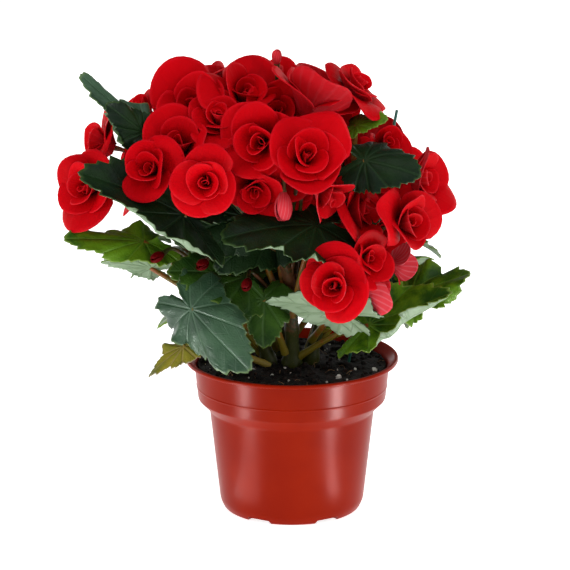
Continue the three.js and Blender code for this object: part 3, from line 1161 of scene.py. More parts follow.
@dataclass
class NurseryPot:
    """Moulded pot with a rolled lip, collar, slanted shoulder and notched foot."""

    rim_radius: float = 65.0
    height: float = 95.0
    wall: float = 1.1
    foot: Tuple[float, float] = (41.4, 0.0)
    foot_corner: Tuple[float, float] = (43.9, 5.0)
    shoulder_bottom: Tuple[float, float] = (50.3, 62.6)
    shoulder_top: Tuple[float, float] = (57.3, 69.8)
    collar_top: Tuple[float, float] = (59.6, 91.8)
    lip: float = 2.2
    lip_width: float = 2.4
    lip_bevel: float = 0.5
    ridge: float = 0.35
    ridge_height: float = 77.4
    ridge_reach: float = 0.7
    foot_ring: float = 34.0
    floor_step: float = 20.0
    centre: float = 2.0
    sides: int = 192
    notches: int = 6
    notch_width: float = 15.0
    notch_height: float = 3.0
    notch_inner: float = 36.0
    notch_past: float = 6.0
    notch_flare: float = 1.25
    notch_top: float = 0.92
    notch_bevel: float = 0.9
    first_notch: float = 31.0
    crease: float = 32.0

    def wall_radius(self, z: float) -> float:
        """Outer radius of the body or collar.

        Args:
            z: Height, in millimetres.

        Returns:
            The radius there.
        """
        if z < self.shoulder_bottom[1]:
            low, high = self.foot_corner, self.shoulder_bottom
        else:
            low, high = self.shoulder_top, self.collar_top
        return low[0] + (high[0] - low[0]) * (z - low[1]) / (high[1] - low[1])

    def ring(self, z: float) -> Sequence[Corner]:
        """A fine moulded ridge round the outside.

        Args:
            z: Height of its crest, in millimetres.

        Returns:
            Its three corners, from below.
        """
        low, high = z - self.ridge_reach, z + self.ridge_reach
        return [(self.wall_radius(low), low, 0.3), (self.wall_radius(z) + self.ridge, z, 0.5),
                (self.wall_radius(high), high, 0.3)]

    def outline(self) -> list:
        """Section from the middle of the underside, up the outside and down the inside.

        Returns:
            Points (radius, height) in millimetres.
        """
        rim, top, wall = self.rim_radius, self.height, self.wall
        step, ring, bevel = self.floor_step, self.foot_ring, self.lip_bevel
        outside = [
            (self.centre, 1.2, 0), (step - 2.0, 1.2, 1.0), (step, 0.4, 1.0), (ring - 2.0, 0.4, 0.5),
            (ring, 0.0, 0.5), (*self.foot, 1.6), (*self.foot_corner, 3.0),
            (*self.shoulder_bottom, 1.2), (*self.shoulder_top, 0.6), *self.ring(self.ridge_height),
            (*self.collar_top, 0.9), (rim - bevel, top - self.lip, 0.9), (rim, top - 1.1, 0.9),
            (rim - bevel, top, 0.8),
        ]
        inside = [
            (rim - self.lip_width, top, 1.0), (self.collar_top[0] - wall, top - 4.0, 1.5),
            (self.shoulder_top[0] - wall, self.shoulder_top[1] + 0.5, 1.4),
            (self.shoulder_bottom[0] - wall, self.shoulder_bottom[1] + 0.5, 1.4),
            (self.foot_corner[0] - wall, self.foot_corner[1], 2.0),
            (self.foot[0] - wall, wall, 1.0), (step, wall + 0.8, 1.0),
            (self.centre, wall + 1.0, 0),
        ]
        return rounded([*outside, *inside])

    def turn(self) -> Piece:
        """Extrudes a ring of points along the section and closes both ends.

        Returns:
            The pot before its notches are cut.
        """
        line = self.outline()
        deselect()
        r, z = line[0]
        bpy.ops.mesh.primitive_circle_add(
            vertices=self.sides, radius=r * MM, location=(0, 0, z * MM), fill_type="NGON"
        )
        pot = take("nursery_pot")
        bpy.ops.object.transform_apply(location=True, rotation=False, scale=False)
        bpy.ops.object.mode_set(mode="EDIT")
        bpy.ops.mesh.select_all(action="SELECT")
        bpy.ops.mesh.duplicate()
        bpy.ops.mesh.delete(type="ONLY_FACE")
        bpy.ops.mesh.select_all(action="DESELECT")
        bpy.ops.mesh.select_non_manifold(extend=False, use_wire=True, use_boundary=False,
                                         use_multi_face=False, use_non_contiguous=False,
                                         use_verts=False)
        for (r0, z0), (r1, z1) in zip(line, line[1:]):
            bpy.ops.mesh.extrude_edges_move(TRANSFORM_OT_translate={"value": (0, 0, (z1 - z0) * MM)})
            bpy.ops.transform.resize(value=(r1 / r0, r1 / r0, 1), center_override=(0, 0, z1 * MM))
        bpy.ops.mesh.edge_face_add()
        bpy.ops.object.mode_set(mode="OBJECT")
        close_up(pot, outward=True)
        return pot

    def cutter(self) -> Piece:
        """One bevelled block for each drain notch.

        Returns:
            The blocks as one piece.
        """
        deselect()
        reach = self.foot_corner[0] + self.notch_past - self.notch_inner
        bpy.ops.mesh.primitive_cube_add(size=1)
        block = take("notch_block")
        points = coordinates(block) * (self.notch_width, reach, 2 * self.notch_height)
        points[:, 0] *= np.where(points[:, 2] < 0, self.notch_flare, self.notch_top)
        reshape(block, (points + (0, -self.notch_inner - reach / 2, 0)) * MM)
        apply(block, "BEVEL", width=self.notch_bevel * MM, segments=3, limit_method="ANGLE")
        blocks = []
        for i in range(self.notches):
            copy = twin(block, f"notch_{i}")
            angle = math.radians(self.first_notch + 360 / self.notches * i)
            copy.data.transform(Matrix.Rotation(angle, 4, "Z"))
            blocks.append(copy)
        discard(block)
        return join(blocks, "notch_blocks")

    def build(self) -> None:
        """Makes the pot with its drain notches cut."""
        pot = self.turn()
        blocks = self.cutter()
        apply(pot, "BOOLEAN", operation="DIFFERENCE", object=blocks, solver="EXACT")
        discard(blocks)
        smooth(pot, self.crease)
        dress(pot, MouldedPlastic().material())
        hand_in(pot, "pot", "pot")


@dataclass
class PottingSoil:
    """Soil with crumbs, white grit and root fibres."""

    top_radius: float = 57.2
    edge: float = 90.6
    crown: float = 91.9
    sunk: float = 0.3
    humps: float = 0.9
    hump_pace: float = 0.12
    pits: float = 0.55
    pit_pace: float = 0.45
    clearance: float = 1.7
    floor: float = 2.3
    spokes: int = 150
    top_rows: int = 40
    crumbs: int = 380
    crumb_size: Tuple[float, float] = (0.8, 2.6)
    grains: int = 34
    grain_size: Tuple[float, float] = (0.4, 1.2)
    fibres: int = 46
    left_fibres: int = 12
    fibre_colour: Colour = (0.30, 0.17, 0.08)
    fibre_stain: Colour = (0.10, 0.05, 0.03)
    seed: int = 11
    large_grains: Sequence[Tuple[float, float, float]] = (
        (28, -33, 1.6), (36, -24, 1.1), (38, -16, 1.5), (50, -16, 1.5), (-12, -28, 1.3),
        (21, -42, 0.9), (-2, -40, 0.9), (33, -38, 0.8),
    )

    def surface(self, x: float, y: float) -> float:
        """Height of the soil.

        Args:
            x: Place to the right of the middle, in millimetres.
            y: Place behind the middle, in millimetres.

        Returns:
            The height there, in millimetres.
        """
        r = math.hypot(x, y) / self.top_radius
        mound = self.edge + (self.crown - self.edge) * (1 - r * r)
        coarse = noise.fractal(Vector((x, y, 3.0)) * self.hump_pace, 0.9, 2.1, 5)
        fine = noise.noise(Vector((x, y, 9.0)) * self.pit_pace)
        calm = 1.0 - 0.45 * r**6
        return mound + (self.humps * coarse + self.pits * fine) * calm - self.sunk

    def body(self, pot: NurseryPot) -> Piece:
        """Closed body of soil that fills the pot.

        Args:
            pot: The pot it fills.

        Returns:
            The body.
        """
        inset = self.clearance
        walls = [
            (self.top_radius, self.edge - 2.0),
            (pot.shoulder_top[0] - inset, pot.shoulder_top[1] + 1),
            (pot.shoulder_bottom[0] - inset, pot.shoulder_bottom[1]),
            (pot.foot_corner[0] - inset, pot.foot_corner[1]),
            (pot.foot[0] - inset, self.floor), (pot.floor_step, self.floor), (0.0, self.floor),
        ]
        rows = self.top_rows + len(walls)
        soil = grid("potting_soil", self.spokes, rows)
        flat = coordinates(soil)
        angle = -math.pi * flat[:, 0]
        row = np.rint((flat[:, 1] + 1) / 2 * rows).astype(int)
        points = np.empty_like(flat)
        for i, (a, k) in enumerate(zip(angle, row)):
            if k <= self.top_rows:
                r = self.top_radius * k / self.top_rows
                x, y = r * math.cos(a), r * math.sin(a)
                points[i] = (x, y, self.surface(x, y))
            else:
                r, z = walls[k - self.top_rows - 1]
                points[i] = (r * math.cos(a), r * math.sin(a), z)
        reshape(soil, points * MM)
        close_up(soil, outward=True)
        return soil

    def lump(self, name: str, detail: int, roughness: float) -> Piece:
        """A small stone-like lump, to be copied.

        Args:
            name: Name for the piece.
            detail: Subdivisions of its ball.
            roughness: Height of its dents and humps.

        Returns:
            The lump, of about unit radius.
        """
        deselect()
        bpy.ops.mesh.primitive_ico_sphere_add(subdivisions=detail, radius=1)
        lump = take(name)
        points = coordinates(lump)
        scale = [1 + roughness * noise.noise(Vector(p) * 1.7 + Vector((5, 2, 8))) for p in points]
        reshape(lump, points * np.array(scale)[:, None])
        return lump

    def scatter(
        self, name: str, lump: Piece, places: Sequence[Tuple[float, float, float]],
        rng: Random, sunk: float,
    ) -> Piece:
        """Copies a lump to places on the soil, each copy turned and stretched.

        Args:
            name: Name for the joined piece.
            lump: Pattern of unit radius.
            places: x, y and size of each copy, in millimetres.
            rng: Random source.
            sunk: Share of its radius that a copy is sunk by.

        Returns:
            All the copies as one piece.
        """
        copies = []
        for i, (x, y, size) in enumerate(places):
            copy = twin(lump, f"{name}_{i}")
            stretch = [size * rng.uniform(0.7, 1.25) for _ in range(3)]
            spin = rng.uniform(0, WHOLE_TURN)
            turn = Matrix.Rotation(spin, 4, Vector((rng.random(), rng.random(), 1)))
            z = self.surface(x, y) + size * (0.5 - sunk)
            copy.data.transform(
                Matrix.Translation(Vector((x, y, z)) * MM) @ turn
                @ Matrix.Diagonal((*[s * MM for s in stretch], 1))
            )
            copies.append(copy)
        discard(lump)
        return join(copies, name)

    def spots(self, count: int, rng: Random, low: float, high: float) -> list:
        """Random places inside the pot's mouth.

        Args:
            count: How many.
            rng: Random source.
            low: Least size, in millimetres.
            high: Greatest size, in millimetres.

        Returns:
            x, y and size of each place.
        """
        spots = []
        for _ in range(count):
            r = (self.top_radius - high * 0.9) * math.sqrt(rng.random())
            a = rng.uniform(-math.pi, math.pi)
            size = low + (high - low) * rng.random() ** 2.5
            spots.append((r * math.cos(a), r * math.sin(a), size))
        return spots

    def fibre(self, name: str, x: float, y: float, rng: Random) -> Piece:
        """A thin root that bows out of the soil.

        Args:
            name: Name for the piece.
            x: Its middle, to the right of the pot's, in millimetres.
            y: Its middle, behind the pot's, in millimetres.
            rng: Random source.

        Returns:
            The fibre.
        """
        turn, height = rng.uniform(0, math.pi), self.surface(x, y) + 0.3
        ahead = np.array([math.cos(turn), math.sin(turn), 0.0]) * rng.uniform(3, 8)
        lift = np.array([0, 0, rng.uniform(0.5, 2.2)])
        middle = np.array([x, y, height])
        line = Spine([tuple(middle - ahead / 2 - (0, 0, 0.7)), tuple(middle + lift),
                      tuple(middle + ahead / 2 + lift * 0.2)], 4).line
        return tube(name, line, np.full(len(line), rng.uniform(0.1, 0.2)), 0)

    def build(self, pot: NurseryPot) -> None:
        """Makes the soil with its crumbs, the grit and the fibres.

        Args:
            pot: The pot that holds them.
        """
        rng = Random(self.seed)
        body = self.body(pot)
        places = self.spots(self.crumbs, rng, *self.crumb_size)
        crumbs = self.scatter("crumbs", self.lump("crumb", 2, 0.7), places, rng, 0.35)
        soil = join([body, crumbs], "potting_soil")
        smooth(soil)
        dress(soil, PottingMix().material())
        hand_in(soil, "soil", "soil")
        places = [*self.large_grains, *self.spots(self.grains, rng, *self.grain_size)]
        grit = self.scatter("white_grit", self.lump("grain", 2, 0.5), places, rng, 0.25)
        smooth(grit, 50)
        dress(grit, Grit().material())
        hand_in(grit, "soil")
        threads = []
        for i, (x, y, _) in enumerate(self.spots(self.fibres, rng, 1, 2)):
            if i < self.left_fibres:
                x, y = rng.uniform(-44, -30), rng.uniform(-34, -8)
            threads.append(self.fibre(f"fibre_{i}", x, y, rng))
        fibres = join(threads, "root_fibres")
        smooth(fibres)
        dress(fibres, Grit("root_fibre", self.fibre_colour, self.fibre_stain).material())
        hand_in(fibres, "soil")


@dataclass
class FlowerStick:
    """Thin green stick that holds the plant up."""

    foot: Point = (22.0, 0.0, 20.0)
    top: Point = (62.7, 0.0, 247.9)
    radius: float = 0.9
    chamfer: float = 0.3
    sides: int = 20
    crease: float = 40.0

    def build(self) -> None:
        """Makes the straight stick with chamfered ends."""
        start, end = Vector(self.foot), Vector(self.top)
        deselect()
        bpy.ops.mesh.primitive_cylinder_add(
            vertices=self.sides, radius=self.radius * MM, depth=(end - start).length * MM
        )
        stick = take("flower_stick")
        apply(stick, "BEVEL", width=self.chamfer * MM, segments=2, limit_method="ANGLE")
        lean = (end - start).to_track_quat("Z", "X").to_matrix().to_4x4()
        stick.data.transform(Matrix.Translation((start + end) / 2 * MM) @ lean)
        smooth(stick, self.crease)
        dress(stick, StickPaint().material())
        hand_in(stick, "stake", "stake")


# ------------------------------------------------------------------ flowers


class BloomForm(Enum):
    """How far a flower has opened."""

    OPEN = (11, 0.94, 0.10, 0.95)
    CUP = (9, 0.66, -0.15, 0.80)
    HALF = (7, 0.42, 0.20, 1.0)
    FLAT = (11, 1.2, 0.15, 0.9)

    def __init__(self, petals: int, openness: float, heart: float, inner: float) -> None:
        """Keeps the numbers of a form under their names.

        Args:
            petals: How many petals it has.
            openness: How far they bend outwards, 1 being fully.
            heart: Height of its furled middle, as a share of its radius.
            inner: Size of its innermost petals, 1 being plain.
        """
        self.petals = petals
        self.openness = openness
        self.heart = heart
        self.inner = inner


@dataclass(frozen=True)
class BloomPlan:
    """Place and look of one flower; an extra one stands for no node."""

    name: str
    at: Point
    radius: float
    azimuth: float
    elevation: float
    form: BloomForm = BloomForm.OPEN
    spin: float = 0.0
    blush: float = 0.15
    extra: bool = False

    @property
    def size(self) -> float:
        """How far it reaches from its centre."""
        return self.radius


OPEN, CUP, HALF, FLAT = BloomForm

BLOOMS = (
    BloomPlan("front_right", (8, -66, 234), 25, 12, 36, OPEN, 20),
    BloomPlan("front_left", (-50, -66, 219), 20.5, -5, 8, OPEN, 200),
    BloomPlan("low_right", (25, -69, 158), 21.5, -12, 8, OPEN, 75, 0.4),
    BloomPlan("front_mid", (-18, -50, 239), 24, -12, 12, OPEN, 130),
    BloomPlan("left_front", (-84, -47, 223), 20, -25, 20, CUP, 300),
    BloomPlan("right_front", (70, -38, 188), 23, 45, 15, CUP, 40, 0.3),
    BloomPlan("right_inner", (41, -30, 193), 22, 65, 20, CUP, 90),
    BloomPlan("mid_small", (20, -53, 208), 17, 50, -25, HALF, 10, 0.6),
    BloomPlan("mid_low", (-22, -46, 210), 18, 0, -10, OPEN, 60),
    BloomPlan("left_upper", (-67, -37, 235), 21, -15, 40, CUP, 15),
    BloomPlan("upper_mid", (-43, -30, 249), 20, -5, 50, OPEN, 240),
    BloomPlan("top_left", (-59, -11, 253), 30, -12, 38, CUP, 160),
    BloomPlan("top_mid", (-27, -11, 262), 25, 20, 50, CUP, 80),
    BloomPlan("top_front", (14, -21, 260), 29, 110, 60, CUP, 330),
    BloomPlan("top_back", (-13, 17, 262), 20, -20, 70, CUP, 110),
    BloomPlan("top_right", (38, -5, 263), 21.5, 80, 50, FLAT, 200),
    BloomPlan("right_upper", (56, -5, 228), 15, 25, 30, HALF, 140),
    BloomPlan("right_side", (79, -8, 208), 22, 60, 10, CUP, 170, 0.6),
    BloomPlan("low_small", (64, -29, 159), 14, 120, -15, HALF, 250, 1.0),
    BloomPlan("left_side", (-122, -16, 204), 22.5, -35, 12, OPEN, 30, 0.3),
    BloomPlan("left_back", (-115, 6, 226), 20, -80, 20, FLAT, 100),
    BloomPlan("left_top", (-89, 14, 246), 13, -60, 40, HALF, 10),
    BloomPlan("back_top_left", (-50, 29, 254), 25, -150, 45, OPEN, 80),
    BloomPlan("back_top_right", (22, 32, 250), 25, 150, 45, CUP, 310),
    BloomPlan("back_left", (-88, 42, 214), 23, -125, 15, OPEN, 10),
    BloomPlan("back_mid_left", (-44, 59, 222), 24, -165, 10, CUP, 190),
    BloomPlan("back_mid_right", (6, 61, 215), 24, 172, 10, OPEN, 270),
    BloomPlan("back_right", (52, 42, 214), 23, 140, 15, OPEN, 120),
    BloomPlan("back_low", (-20, 59, 172), 21, 180, -5, CUP, 45),
    BloomPlan("inner_low_back", (47, -46, 149), 17, 115, -5, HALF, 20, 1.0, True),
    BloomPlan("inner_mid", (14, -18, 204), 21, 10, 10, CUP, 20, 0.1, True),
    BloomPlan("inner_top", (-9, -14, 250), 20, 0, 30, CUP, 70, 0.1, True),
    BloomPlan("inner_left", (-62, -24, 228), 22, -15, 15, CUP, 110, 0.1, True),
    BloomPlan("inner_right", (52, -16, 206), 19, 30, 15, CUP, 230, 0.1, True),
    BloomPlan("inner_right_low", (54, -12, 177), 22, 25, 5, CUP, 290, 0.1, True),
    BloomPlan("inner_heart", (-25, 12, 236), 24, -10, 40, CUP, 190, 0.1, True),
    BloomPlan("inner_gap_left", (-30, -32, 216), 20, -5, 5, CUP, 20, 0.1, True),
    BloomPlan("inner_right_far", (64, 2, 204), 20, 60, 20, CUP, 260, 0.1, True),
    BloomPlan("inner_right_side", (56, 26, 196), 21, 95, 15, OPEN, 310, 0.1, True),
    BloomPlan("inner_left_side", (-96, 22, 200), 21, -85, 10, OPEN, 150, 0.1, True),
    BloomPlan("inner_gap_mid", (1, -27, 208), 19, 0, 10, CUP, 80, 0.1, True),
    BloomPlan("inner_gap", (-8, -32, 222), 20, 5, 10, CUP, 200, 0.1, True),
    BloomPlan("inner_low_front", (46, -49, 169), 17, 35, 15, CUP, 120, 0.2, True),
    BloomPlan("inner_gap_right", (28, -14, 186), 17, 20, 0, CUP, 30, 0.1, True),
    BloomPlan("inner_gap_high", (25, -1, 222), 18, 10, 20, CUP, 310, 0.1, True),
    BloomPlan("inner_core_high", (12, 20, 238), 20, 60, 20, CUP, 220, 0.1, True),
    BloomPlan("inner_core_right", (41, 18, 217), 17, 70, 20, CUP, 140, 0.1, True),
    BloomPlan("inner_top_gap", (27, -3, 248), 15, 40, 30, CUP, 60, 0.1, True),
    BloomPlan("inner_far_left", (-88, -8, 222), 19, -50, 15, CUP, 10, 0.1, True),
)


@dataclass(frozen=True)
class Curl:
    """How one petal is bent, with lengths as shares of the flower's radius."""

    foot_radius: float
    foot_height: float
    length: float
    half_width: float
    start_angle: float
    end_angle: float
    hug: float
    wrap: float
    shingle: float
    roll: float
    ruffle: float
    phase: float
    waves: float
    point: float = 2.3
    point_depth: float = 0.34
    claw: float = 0.22
    widest: float = 0.82
    least_bow: float = 0.09
    steps: int = 60

    def bend(self, u: Array, v: Array) -> Array:
        """Bends the flat petal about the flower's axis.

        Args:
            u: Place across, from -1 to 1.
            v: Place along, from 0 at the claw to 1 at the tip.

        Returns:
            Points with the petal's middle over +X and the flower's axis as +Z.
        """
        fine = np.linspace(0, 1, self.steps + 1)
        angle = self.start_angle + (self.end_angle - self.start_angle) * fine**1.3
        step = self.length / self.steps
        mid = (angle[1:] + angle[:-1]) / 2
        radius = self.foot_radius + np.concatenate([[0], np.cumsum(np.cos(mid)) * step])
        height = self.foot_height + np.concatenate([[0], np.cumsum(np.sin(mid)) * step])
        run = v * (1 - self.point_depth * np.abs(u) ** self.point)
        r, z, a = (np.interp(run, fine, line) for line in (radius, height, angle))
        spread = self.claw + (1 - self.claw) * (1 - (1 - np.minimum(v / self.widest, 1)) ** 2)
        across = u * self.half_width * spread
        bow = np.maximum(np.maximum(r, 0.05) * self.hug, self.least_bow)
        turn = self.wrap * np.tanh(across / bow / self.wrap)
        lift = self.ruffle * v**2 * np.sin(self.waves * math.pi * u + self.phase)
        lift = lift - self.roll * np.abs(u) ** 2.5 * v * spread
        slant = self.shingle * u * (0.3 + 0.7 * v)
        r = r + slant - np.sin(a) * lift
        z = z + np.cos(a) * lift
        return np.stack([r - bow * (1 - np.cos(turn)), -bow * np.sin(turn), z], 1)


@dataclass
class PetalPattern:
    """The flat petal that every curled petal is copied from."""

    columns: int = 12
    rows: int = 13
    thickness: float = 0.42
    sheet: Optional[Piece] = None
    u: Array = field(init=False)
    v: Array = field(init=False)

    def build(self) -> None:
        """Models the flat petal once, with a finish for each side."""
        self.sheet = grid("petal_pattern", self.columns, self.rows)
        flat = coordinates(self.sheet)
        self.u, self.v = flat[:, 0], (flat[:, 1] + 1) / 2
        for name in ("tone", "blush"):
            self.sheet.data.attributes.new(name, "FLOAT", "POINT")
        dress(self.sheet, *(PetalVelvet(side).material() for side in PetalSide))

    def petal(
        self, name: str, curl: Curl, axes: Array, centre: Point, tone: float, blush: float
    ) -> Piece:
        """Copies the pattern and curls the copy.

        Args:
            name: Name for the copy.
            curl: Its bends.
            axes: Rows that turn and scale a point about the flower's axis, in millimetres.
            centre: The flower's centre, in millimetres.
            tone: Brightness, 1 being plain; random on flowers, and low as painted shade on the buds
                under the leaves.
            blush: Pinkness of its back, 0 to 1.

        Returns:
            The curled petal.
        """
        petal = twin(self.sheet, name)
        reshape(petal, (curl.bend(self.u, self.v) @ axes + np.array(centre, float)) * MM)
        for key, value in (("tone", tone), ("blush", blush)):
            petal.data.attributes[key].data.foreach_set("value", np.full(len(self.u), value))
        return petal

    def finish(self, petals: Sequence[Piece], name: str) -> Piece:
        """Joins petals and gives them thickness, with the back in its own finish.

        Args:
            petals: The curled petals.
            name: Name for the piece.

        Returns:
            The joined piece.
        """
        piece = join(petals, name)
        apply(piece, "SOLIDIFY", thickness=self.thickness * MM, offset=-1.0,
              material_offset=1, material_offset_rim=1)
        smooth(piece)
        return piece


@dataclass
class Bloom:
    """A double flower of spiralled petals."""

    plan: BloomPlan
    pattern: PetalPattern
    golden: float = 137.5
    sway: float = 10.0
    tilt: float = 9.0
    outer_point: Tuple[float, float] = (1.5, 2.8)
    flat_point: float = 1.3

    def curl(self, age: float, rng: Random) -> Curl:
        """Bends of one petal.

        Args:
            age: 0 in the furled middle to 1 for the outermost petal.
            rng: Random source.

        Returns:
            The bends.
        """
        form = self.plan.form
        inner = form.inner + (1.0 - form.inner) * age
        start = 92.0 - 38.0 * age
        end = 100.0 - 122.0 * age**1.15
        end = start + (end - start) * form.openness
        deep = -0.05 - 0.40 * age
        return Curl(
            foot_radius=0.03 + 0.09 * age,
            foot_height=deep - (0.30 - form.heart) * (1 - age) * 0.8,
            length=(0.46 + 0.82 * age**0.8) * rng.uniform(0.88, 1.10) * inner,
            half_width=(0.28 + 0.68 * age**0.75) * rng.uniform(0.88, 1.10),
            start_angle=math.radians(start),
            end_angle=math.radians(end + rng.uniform(-9, 9) * (1 + 2 * age)),
            hug=1.05 + 0.75 * age,
            wrap=2.3 - 1.0 * age,
            shingle=(0.04 + 0.05 * age) * rng.uniform(0.6, 1.3),
            roll=(0.02 + 0.12 * age) * rng.uniform(0.0, 1.5),
            ruffle=(0.010 + 0.07 * age) * rng.uniform(0.5, 1.5),
            phase=rng.uniform(0, WHOLE_TURN),
            waves=rng.uniform(0.7, 1.7),
            point=self.flat_point if form is FLAT else rng.uniform(*self.outer_point),
        )

    def build(self, seed: int) -> None:
        """Makes the flower.

        Args:
            seed: Seed of its irregularities.
        """
        plan, rng = self.plan, Random(seed)
        axes = facing(plan.azimuth, plan.elevation, UP)
        petals = []
        for i in range(plan.form.petals):
            age = (i / (plan.form.petals - 1)) ** 0.8
            turn = plan.spin + self.golden * i + rng.uniform(-self.sway, self.sway)
            tilt = math.radians(rng.uniform(-self.tilt, self.tilt) * age)
            tilted = np.array(Matrix.Rotation(tilt, 3, "Y")).T @ about_axis(math.radians(turn))
            blush = plan.blush * (0.3 + 0.7 * rng.random()) * (0.3 + 0.7 * age)
            petals.append(self.pattern.petal(
                f"{plan.name}_petal_{i}", self.curl(age, rng), tilted @ axes * plan.radius,
                plan.at, rng.uniform(0.86, 1.08), blush,
            ))
        bloom = self.pattern.finish(petals, f"bloom_{plan.name}")
        hand_in(bloom, "petal", *(() if plan.extra else (f"flower_{plan.name}",)))


@dataclass(frozen=True)
class BudPlan:
    """Place and size of one closed bud; an extra one stands for no node."""

    name: str
    at: Point
    length: float
    azimuth: float
    elevation: float
    blush: float
    # tone darkens the bud as painted shade; 1 leaves it plain.
    tone: float = 1.0
    extra: bool = False

    @property
    def size(self) -> float:
        """How far it reaches from its centre."""
        return self.length


BUDS = (
    BudPlan("mid", (-5, -56, 203), 17, 0, -70, 0.6),
    BudPlan("top", (-9, -2, 280), 9, 0, 80, 0.3),
    BudPlan("back", (58, 53, 180), 15, 140, -30, 0.6),
    # The three buds low under the leaves are darkened to about a fifth, as painted shade.
    BudPlan("low_left", (-80, -25, 164), 10, -40, -10, 0.0, 0.2, True),
    BudPlan("low_mid", (-53, -31, 161), 11, -20, -5, 0.0, 0.2, True),
    BudPlan("low_centre", (-27, -32, 149), 10, -10, -20, 0.1, 0.25, True),
)

Head = Union[BloomPlan, BudPlan]
HEADS = {head.name: head for head in (*BLOOMS, *BUDS)}


@dataclass
class ClosedBud:
    """A bud of tightly folded petals."""

    plan: BudPlan
    pattern: PetalPattern
    petals: int = 6
    sway: float = 35.0
    upright: Point = (0.3, 0.1, 1.0)

    def curl(self, age: float, rng: Random) -> Curl:
        """Bends of one folded petal.

        Args:
            age: 0 for the innermost petal to 1 for the outermost.
            rng: Random source.

        Returns:
            The bends.
        """
        return Curl(
            foot_radius=0.03, foot_height=-0.5, length=1.05 + 0.08 * age,
            half_width=0.30 + 0.16 * age, start_angle=math.radians(66 - 16 * age),
            end_angle=math.radians(120 + 8 * age), hug=1.1, wrap=2.2,
            shingle=0.03, roll=0.0, ruffle=0.012, phase=rng.uniform(0, 6), waves=1.5,
        )

    def build(self, seed: int) -> None:
        """Makes the bud.

        Args:
            seed: Seed of its irregularities.
        """
        plan, rng = self.plan, Random(seed)
        axes = facing(plan.azimuth, plan.elevation, self.upright)
        folded = []
        for i in range(self.petals):
            turn = math.radians(180 * i + self.sway * rng.random())
            folded.append(self.pattern.petal(
                f"{plan.name}_fold_{i}", self.curl(i / (self.petals - 1), rng),
                about_axis(turn) @ axes * plan.length, plan.at,
                rng.uniform(0.8, 1.0) * plan.tone, plan.blush,
            ))
        bud = self.pattern.finish(folded, f"closed_bud_{plan.name}")
        hand_in(bud, "bud", *(() if plan.extra else (f"bud_{plan.name}",)))


@dataclass(frozen=True)
class StemPlan:
    """A trunk and its heads, lowest first: flowers, buds, and those inside the plant."""

    name: str
    radius: float
    trunk: Sequence[Point]
    flowers: Sequence[str]
    buds: Sequence[str] = ()
    inner: Sequence[str] = ()


STEMS = (
    StemPlan("left", 3.6, ((-10, -5, 72), (-17, -7, 104), (-34, -10, 145), (-52, -14, 185)),
             ("left_side", "left_front", "left_back", "left_top", "left_upper", "top_left"), (),
             ("inner_far_left", "inner_left", "inner_left_side", "low_left", "low_mid")),
    StemPlan("front", 4.2, ((-1, -7, 70), (0, -9, 104), (-1, -14, 140), (-6, -24, 185)),
             ("low_right", "mid_low", "mid_small", "front_left", "front_right", "front_mid",
              "upper_mid"), ("mid", "top"), ("inner_mid", "inner_top", "inner_gap",
              "inner_gap_left", "inner_gap_mid", "low_centre")),
    StemPlan("right", 3.6, ((8, 0, 72), (14, -1, 105), (28, -4, 145), (36, -6, 190)),
             ("low_small", "right_front", "right_inner", "right_side", "right_upper",
              "top_right", "top_front"), (),
             ("inner_low_back", "inner_right_low", "inner_right", "inner_right_far",
              "inner_right_side", "inner_low_front", "inner_gap_right", "inner_gap_high",
              "inner_core_right", "inner_top_gap")),
    StemPlan("back", 3.8, ((-4, 8, 72), (-7, 14, 105), (-12, 26, 150), (-14, 26, 200)),
             ("back_low", "back_left", "back_right", "back_mid_left", "back_mid_right",
              "back_top_left", "back_top_right", "top_mid", "top_back"), ("back",),
             ("inner_heart", "inner_core_high")),
)


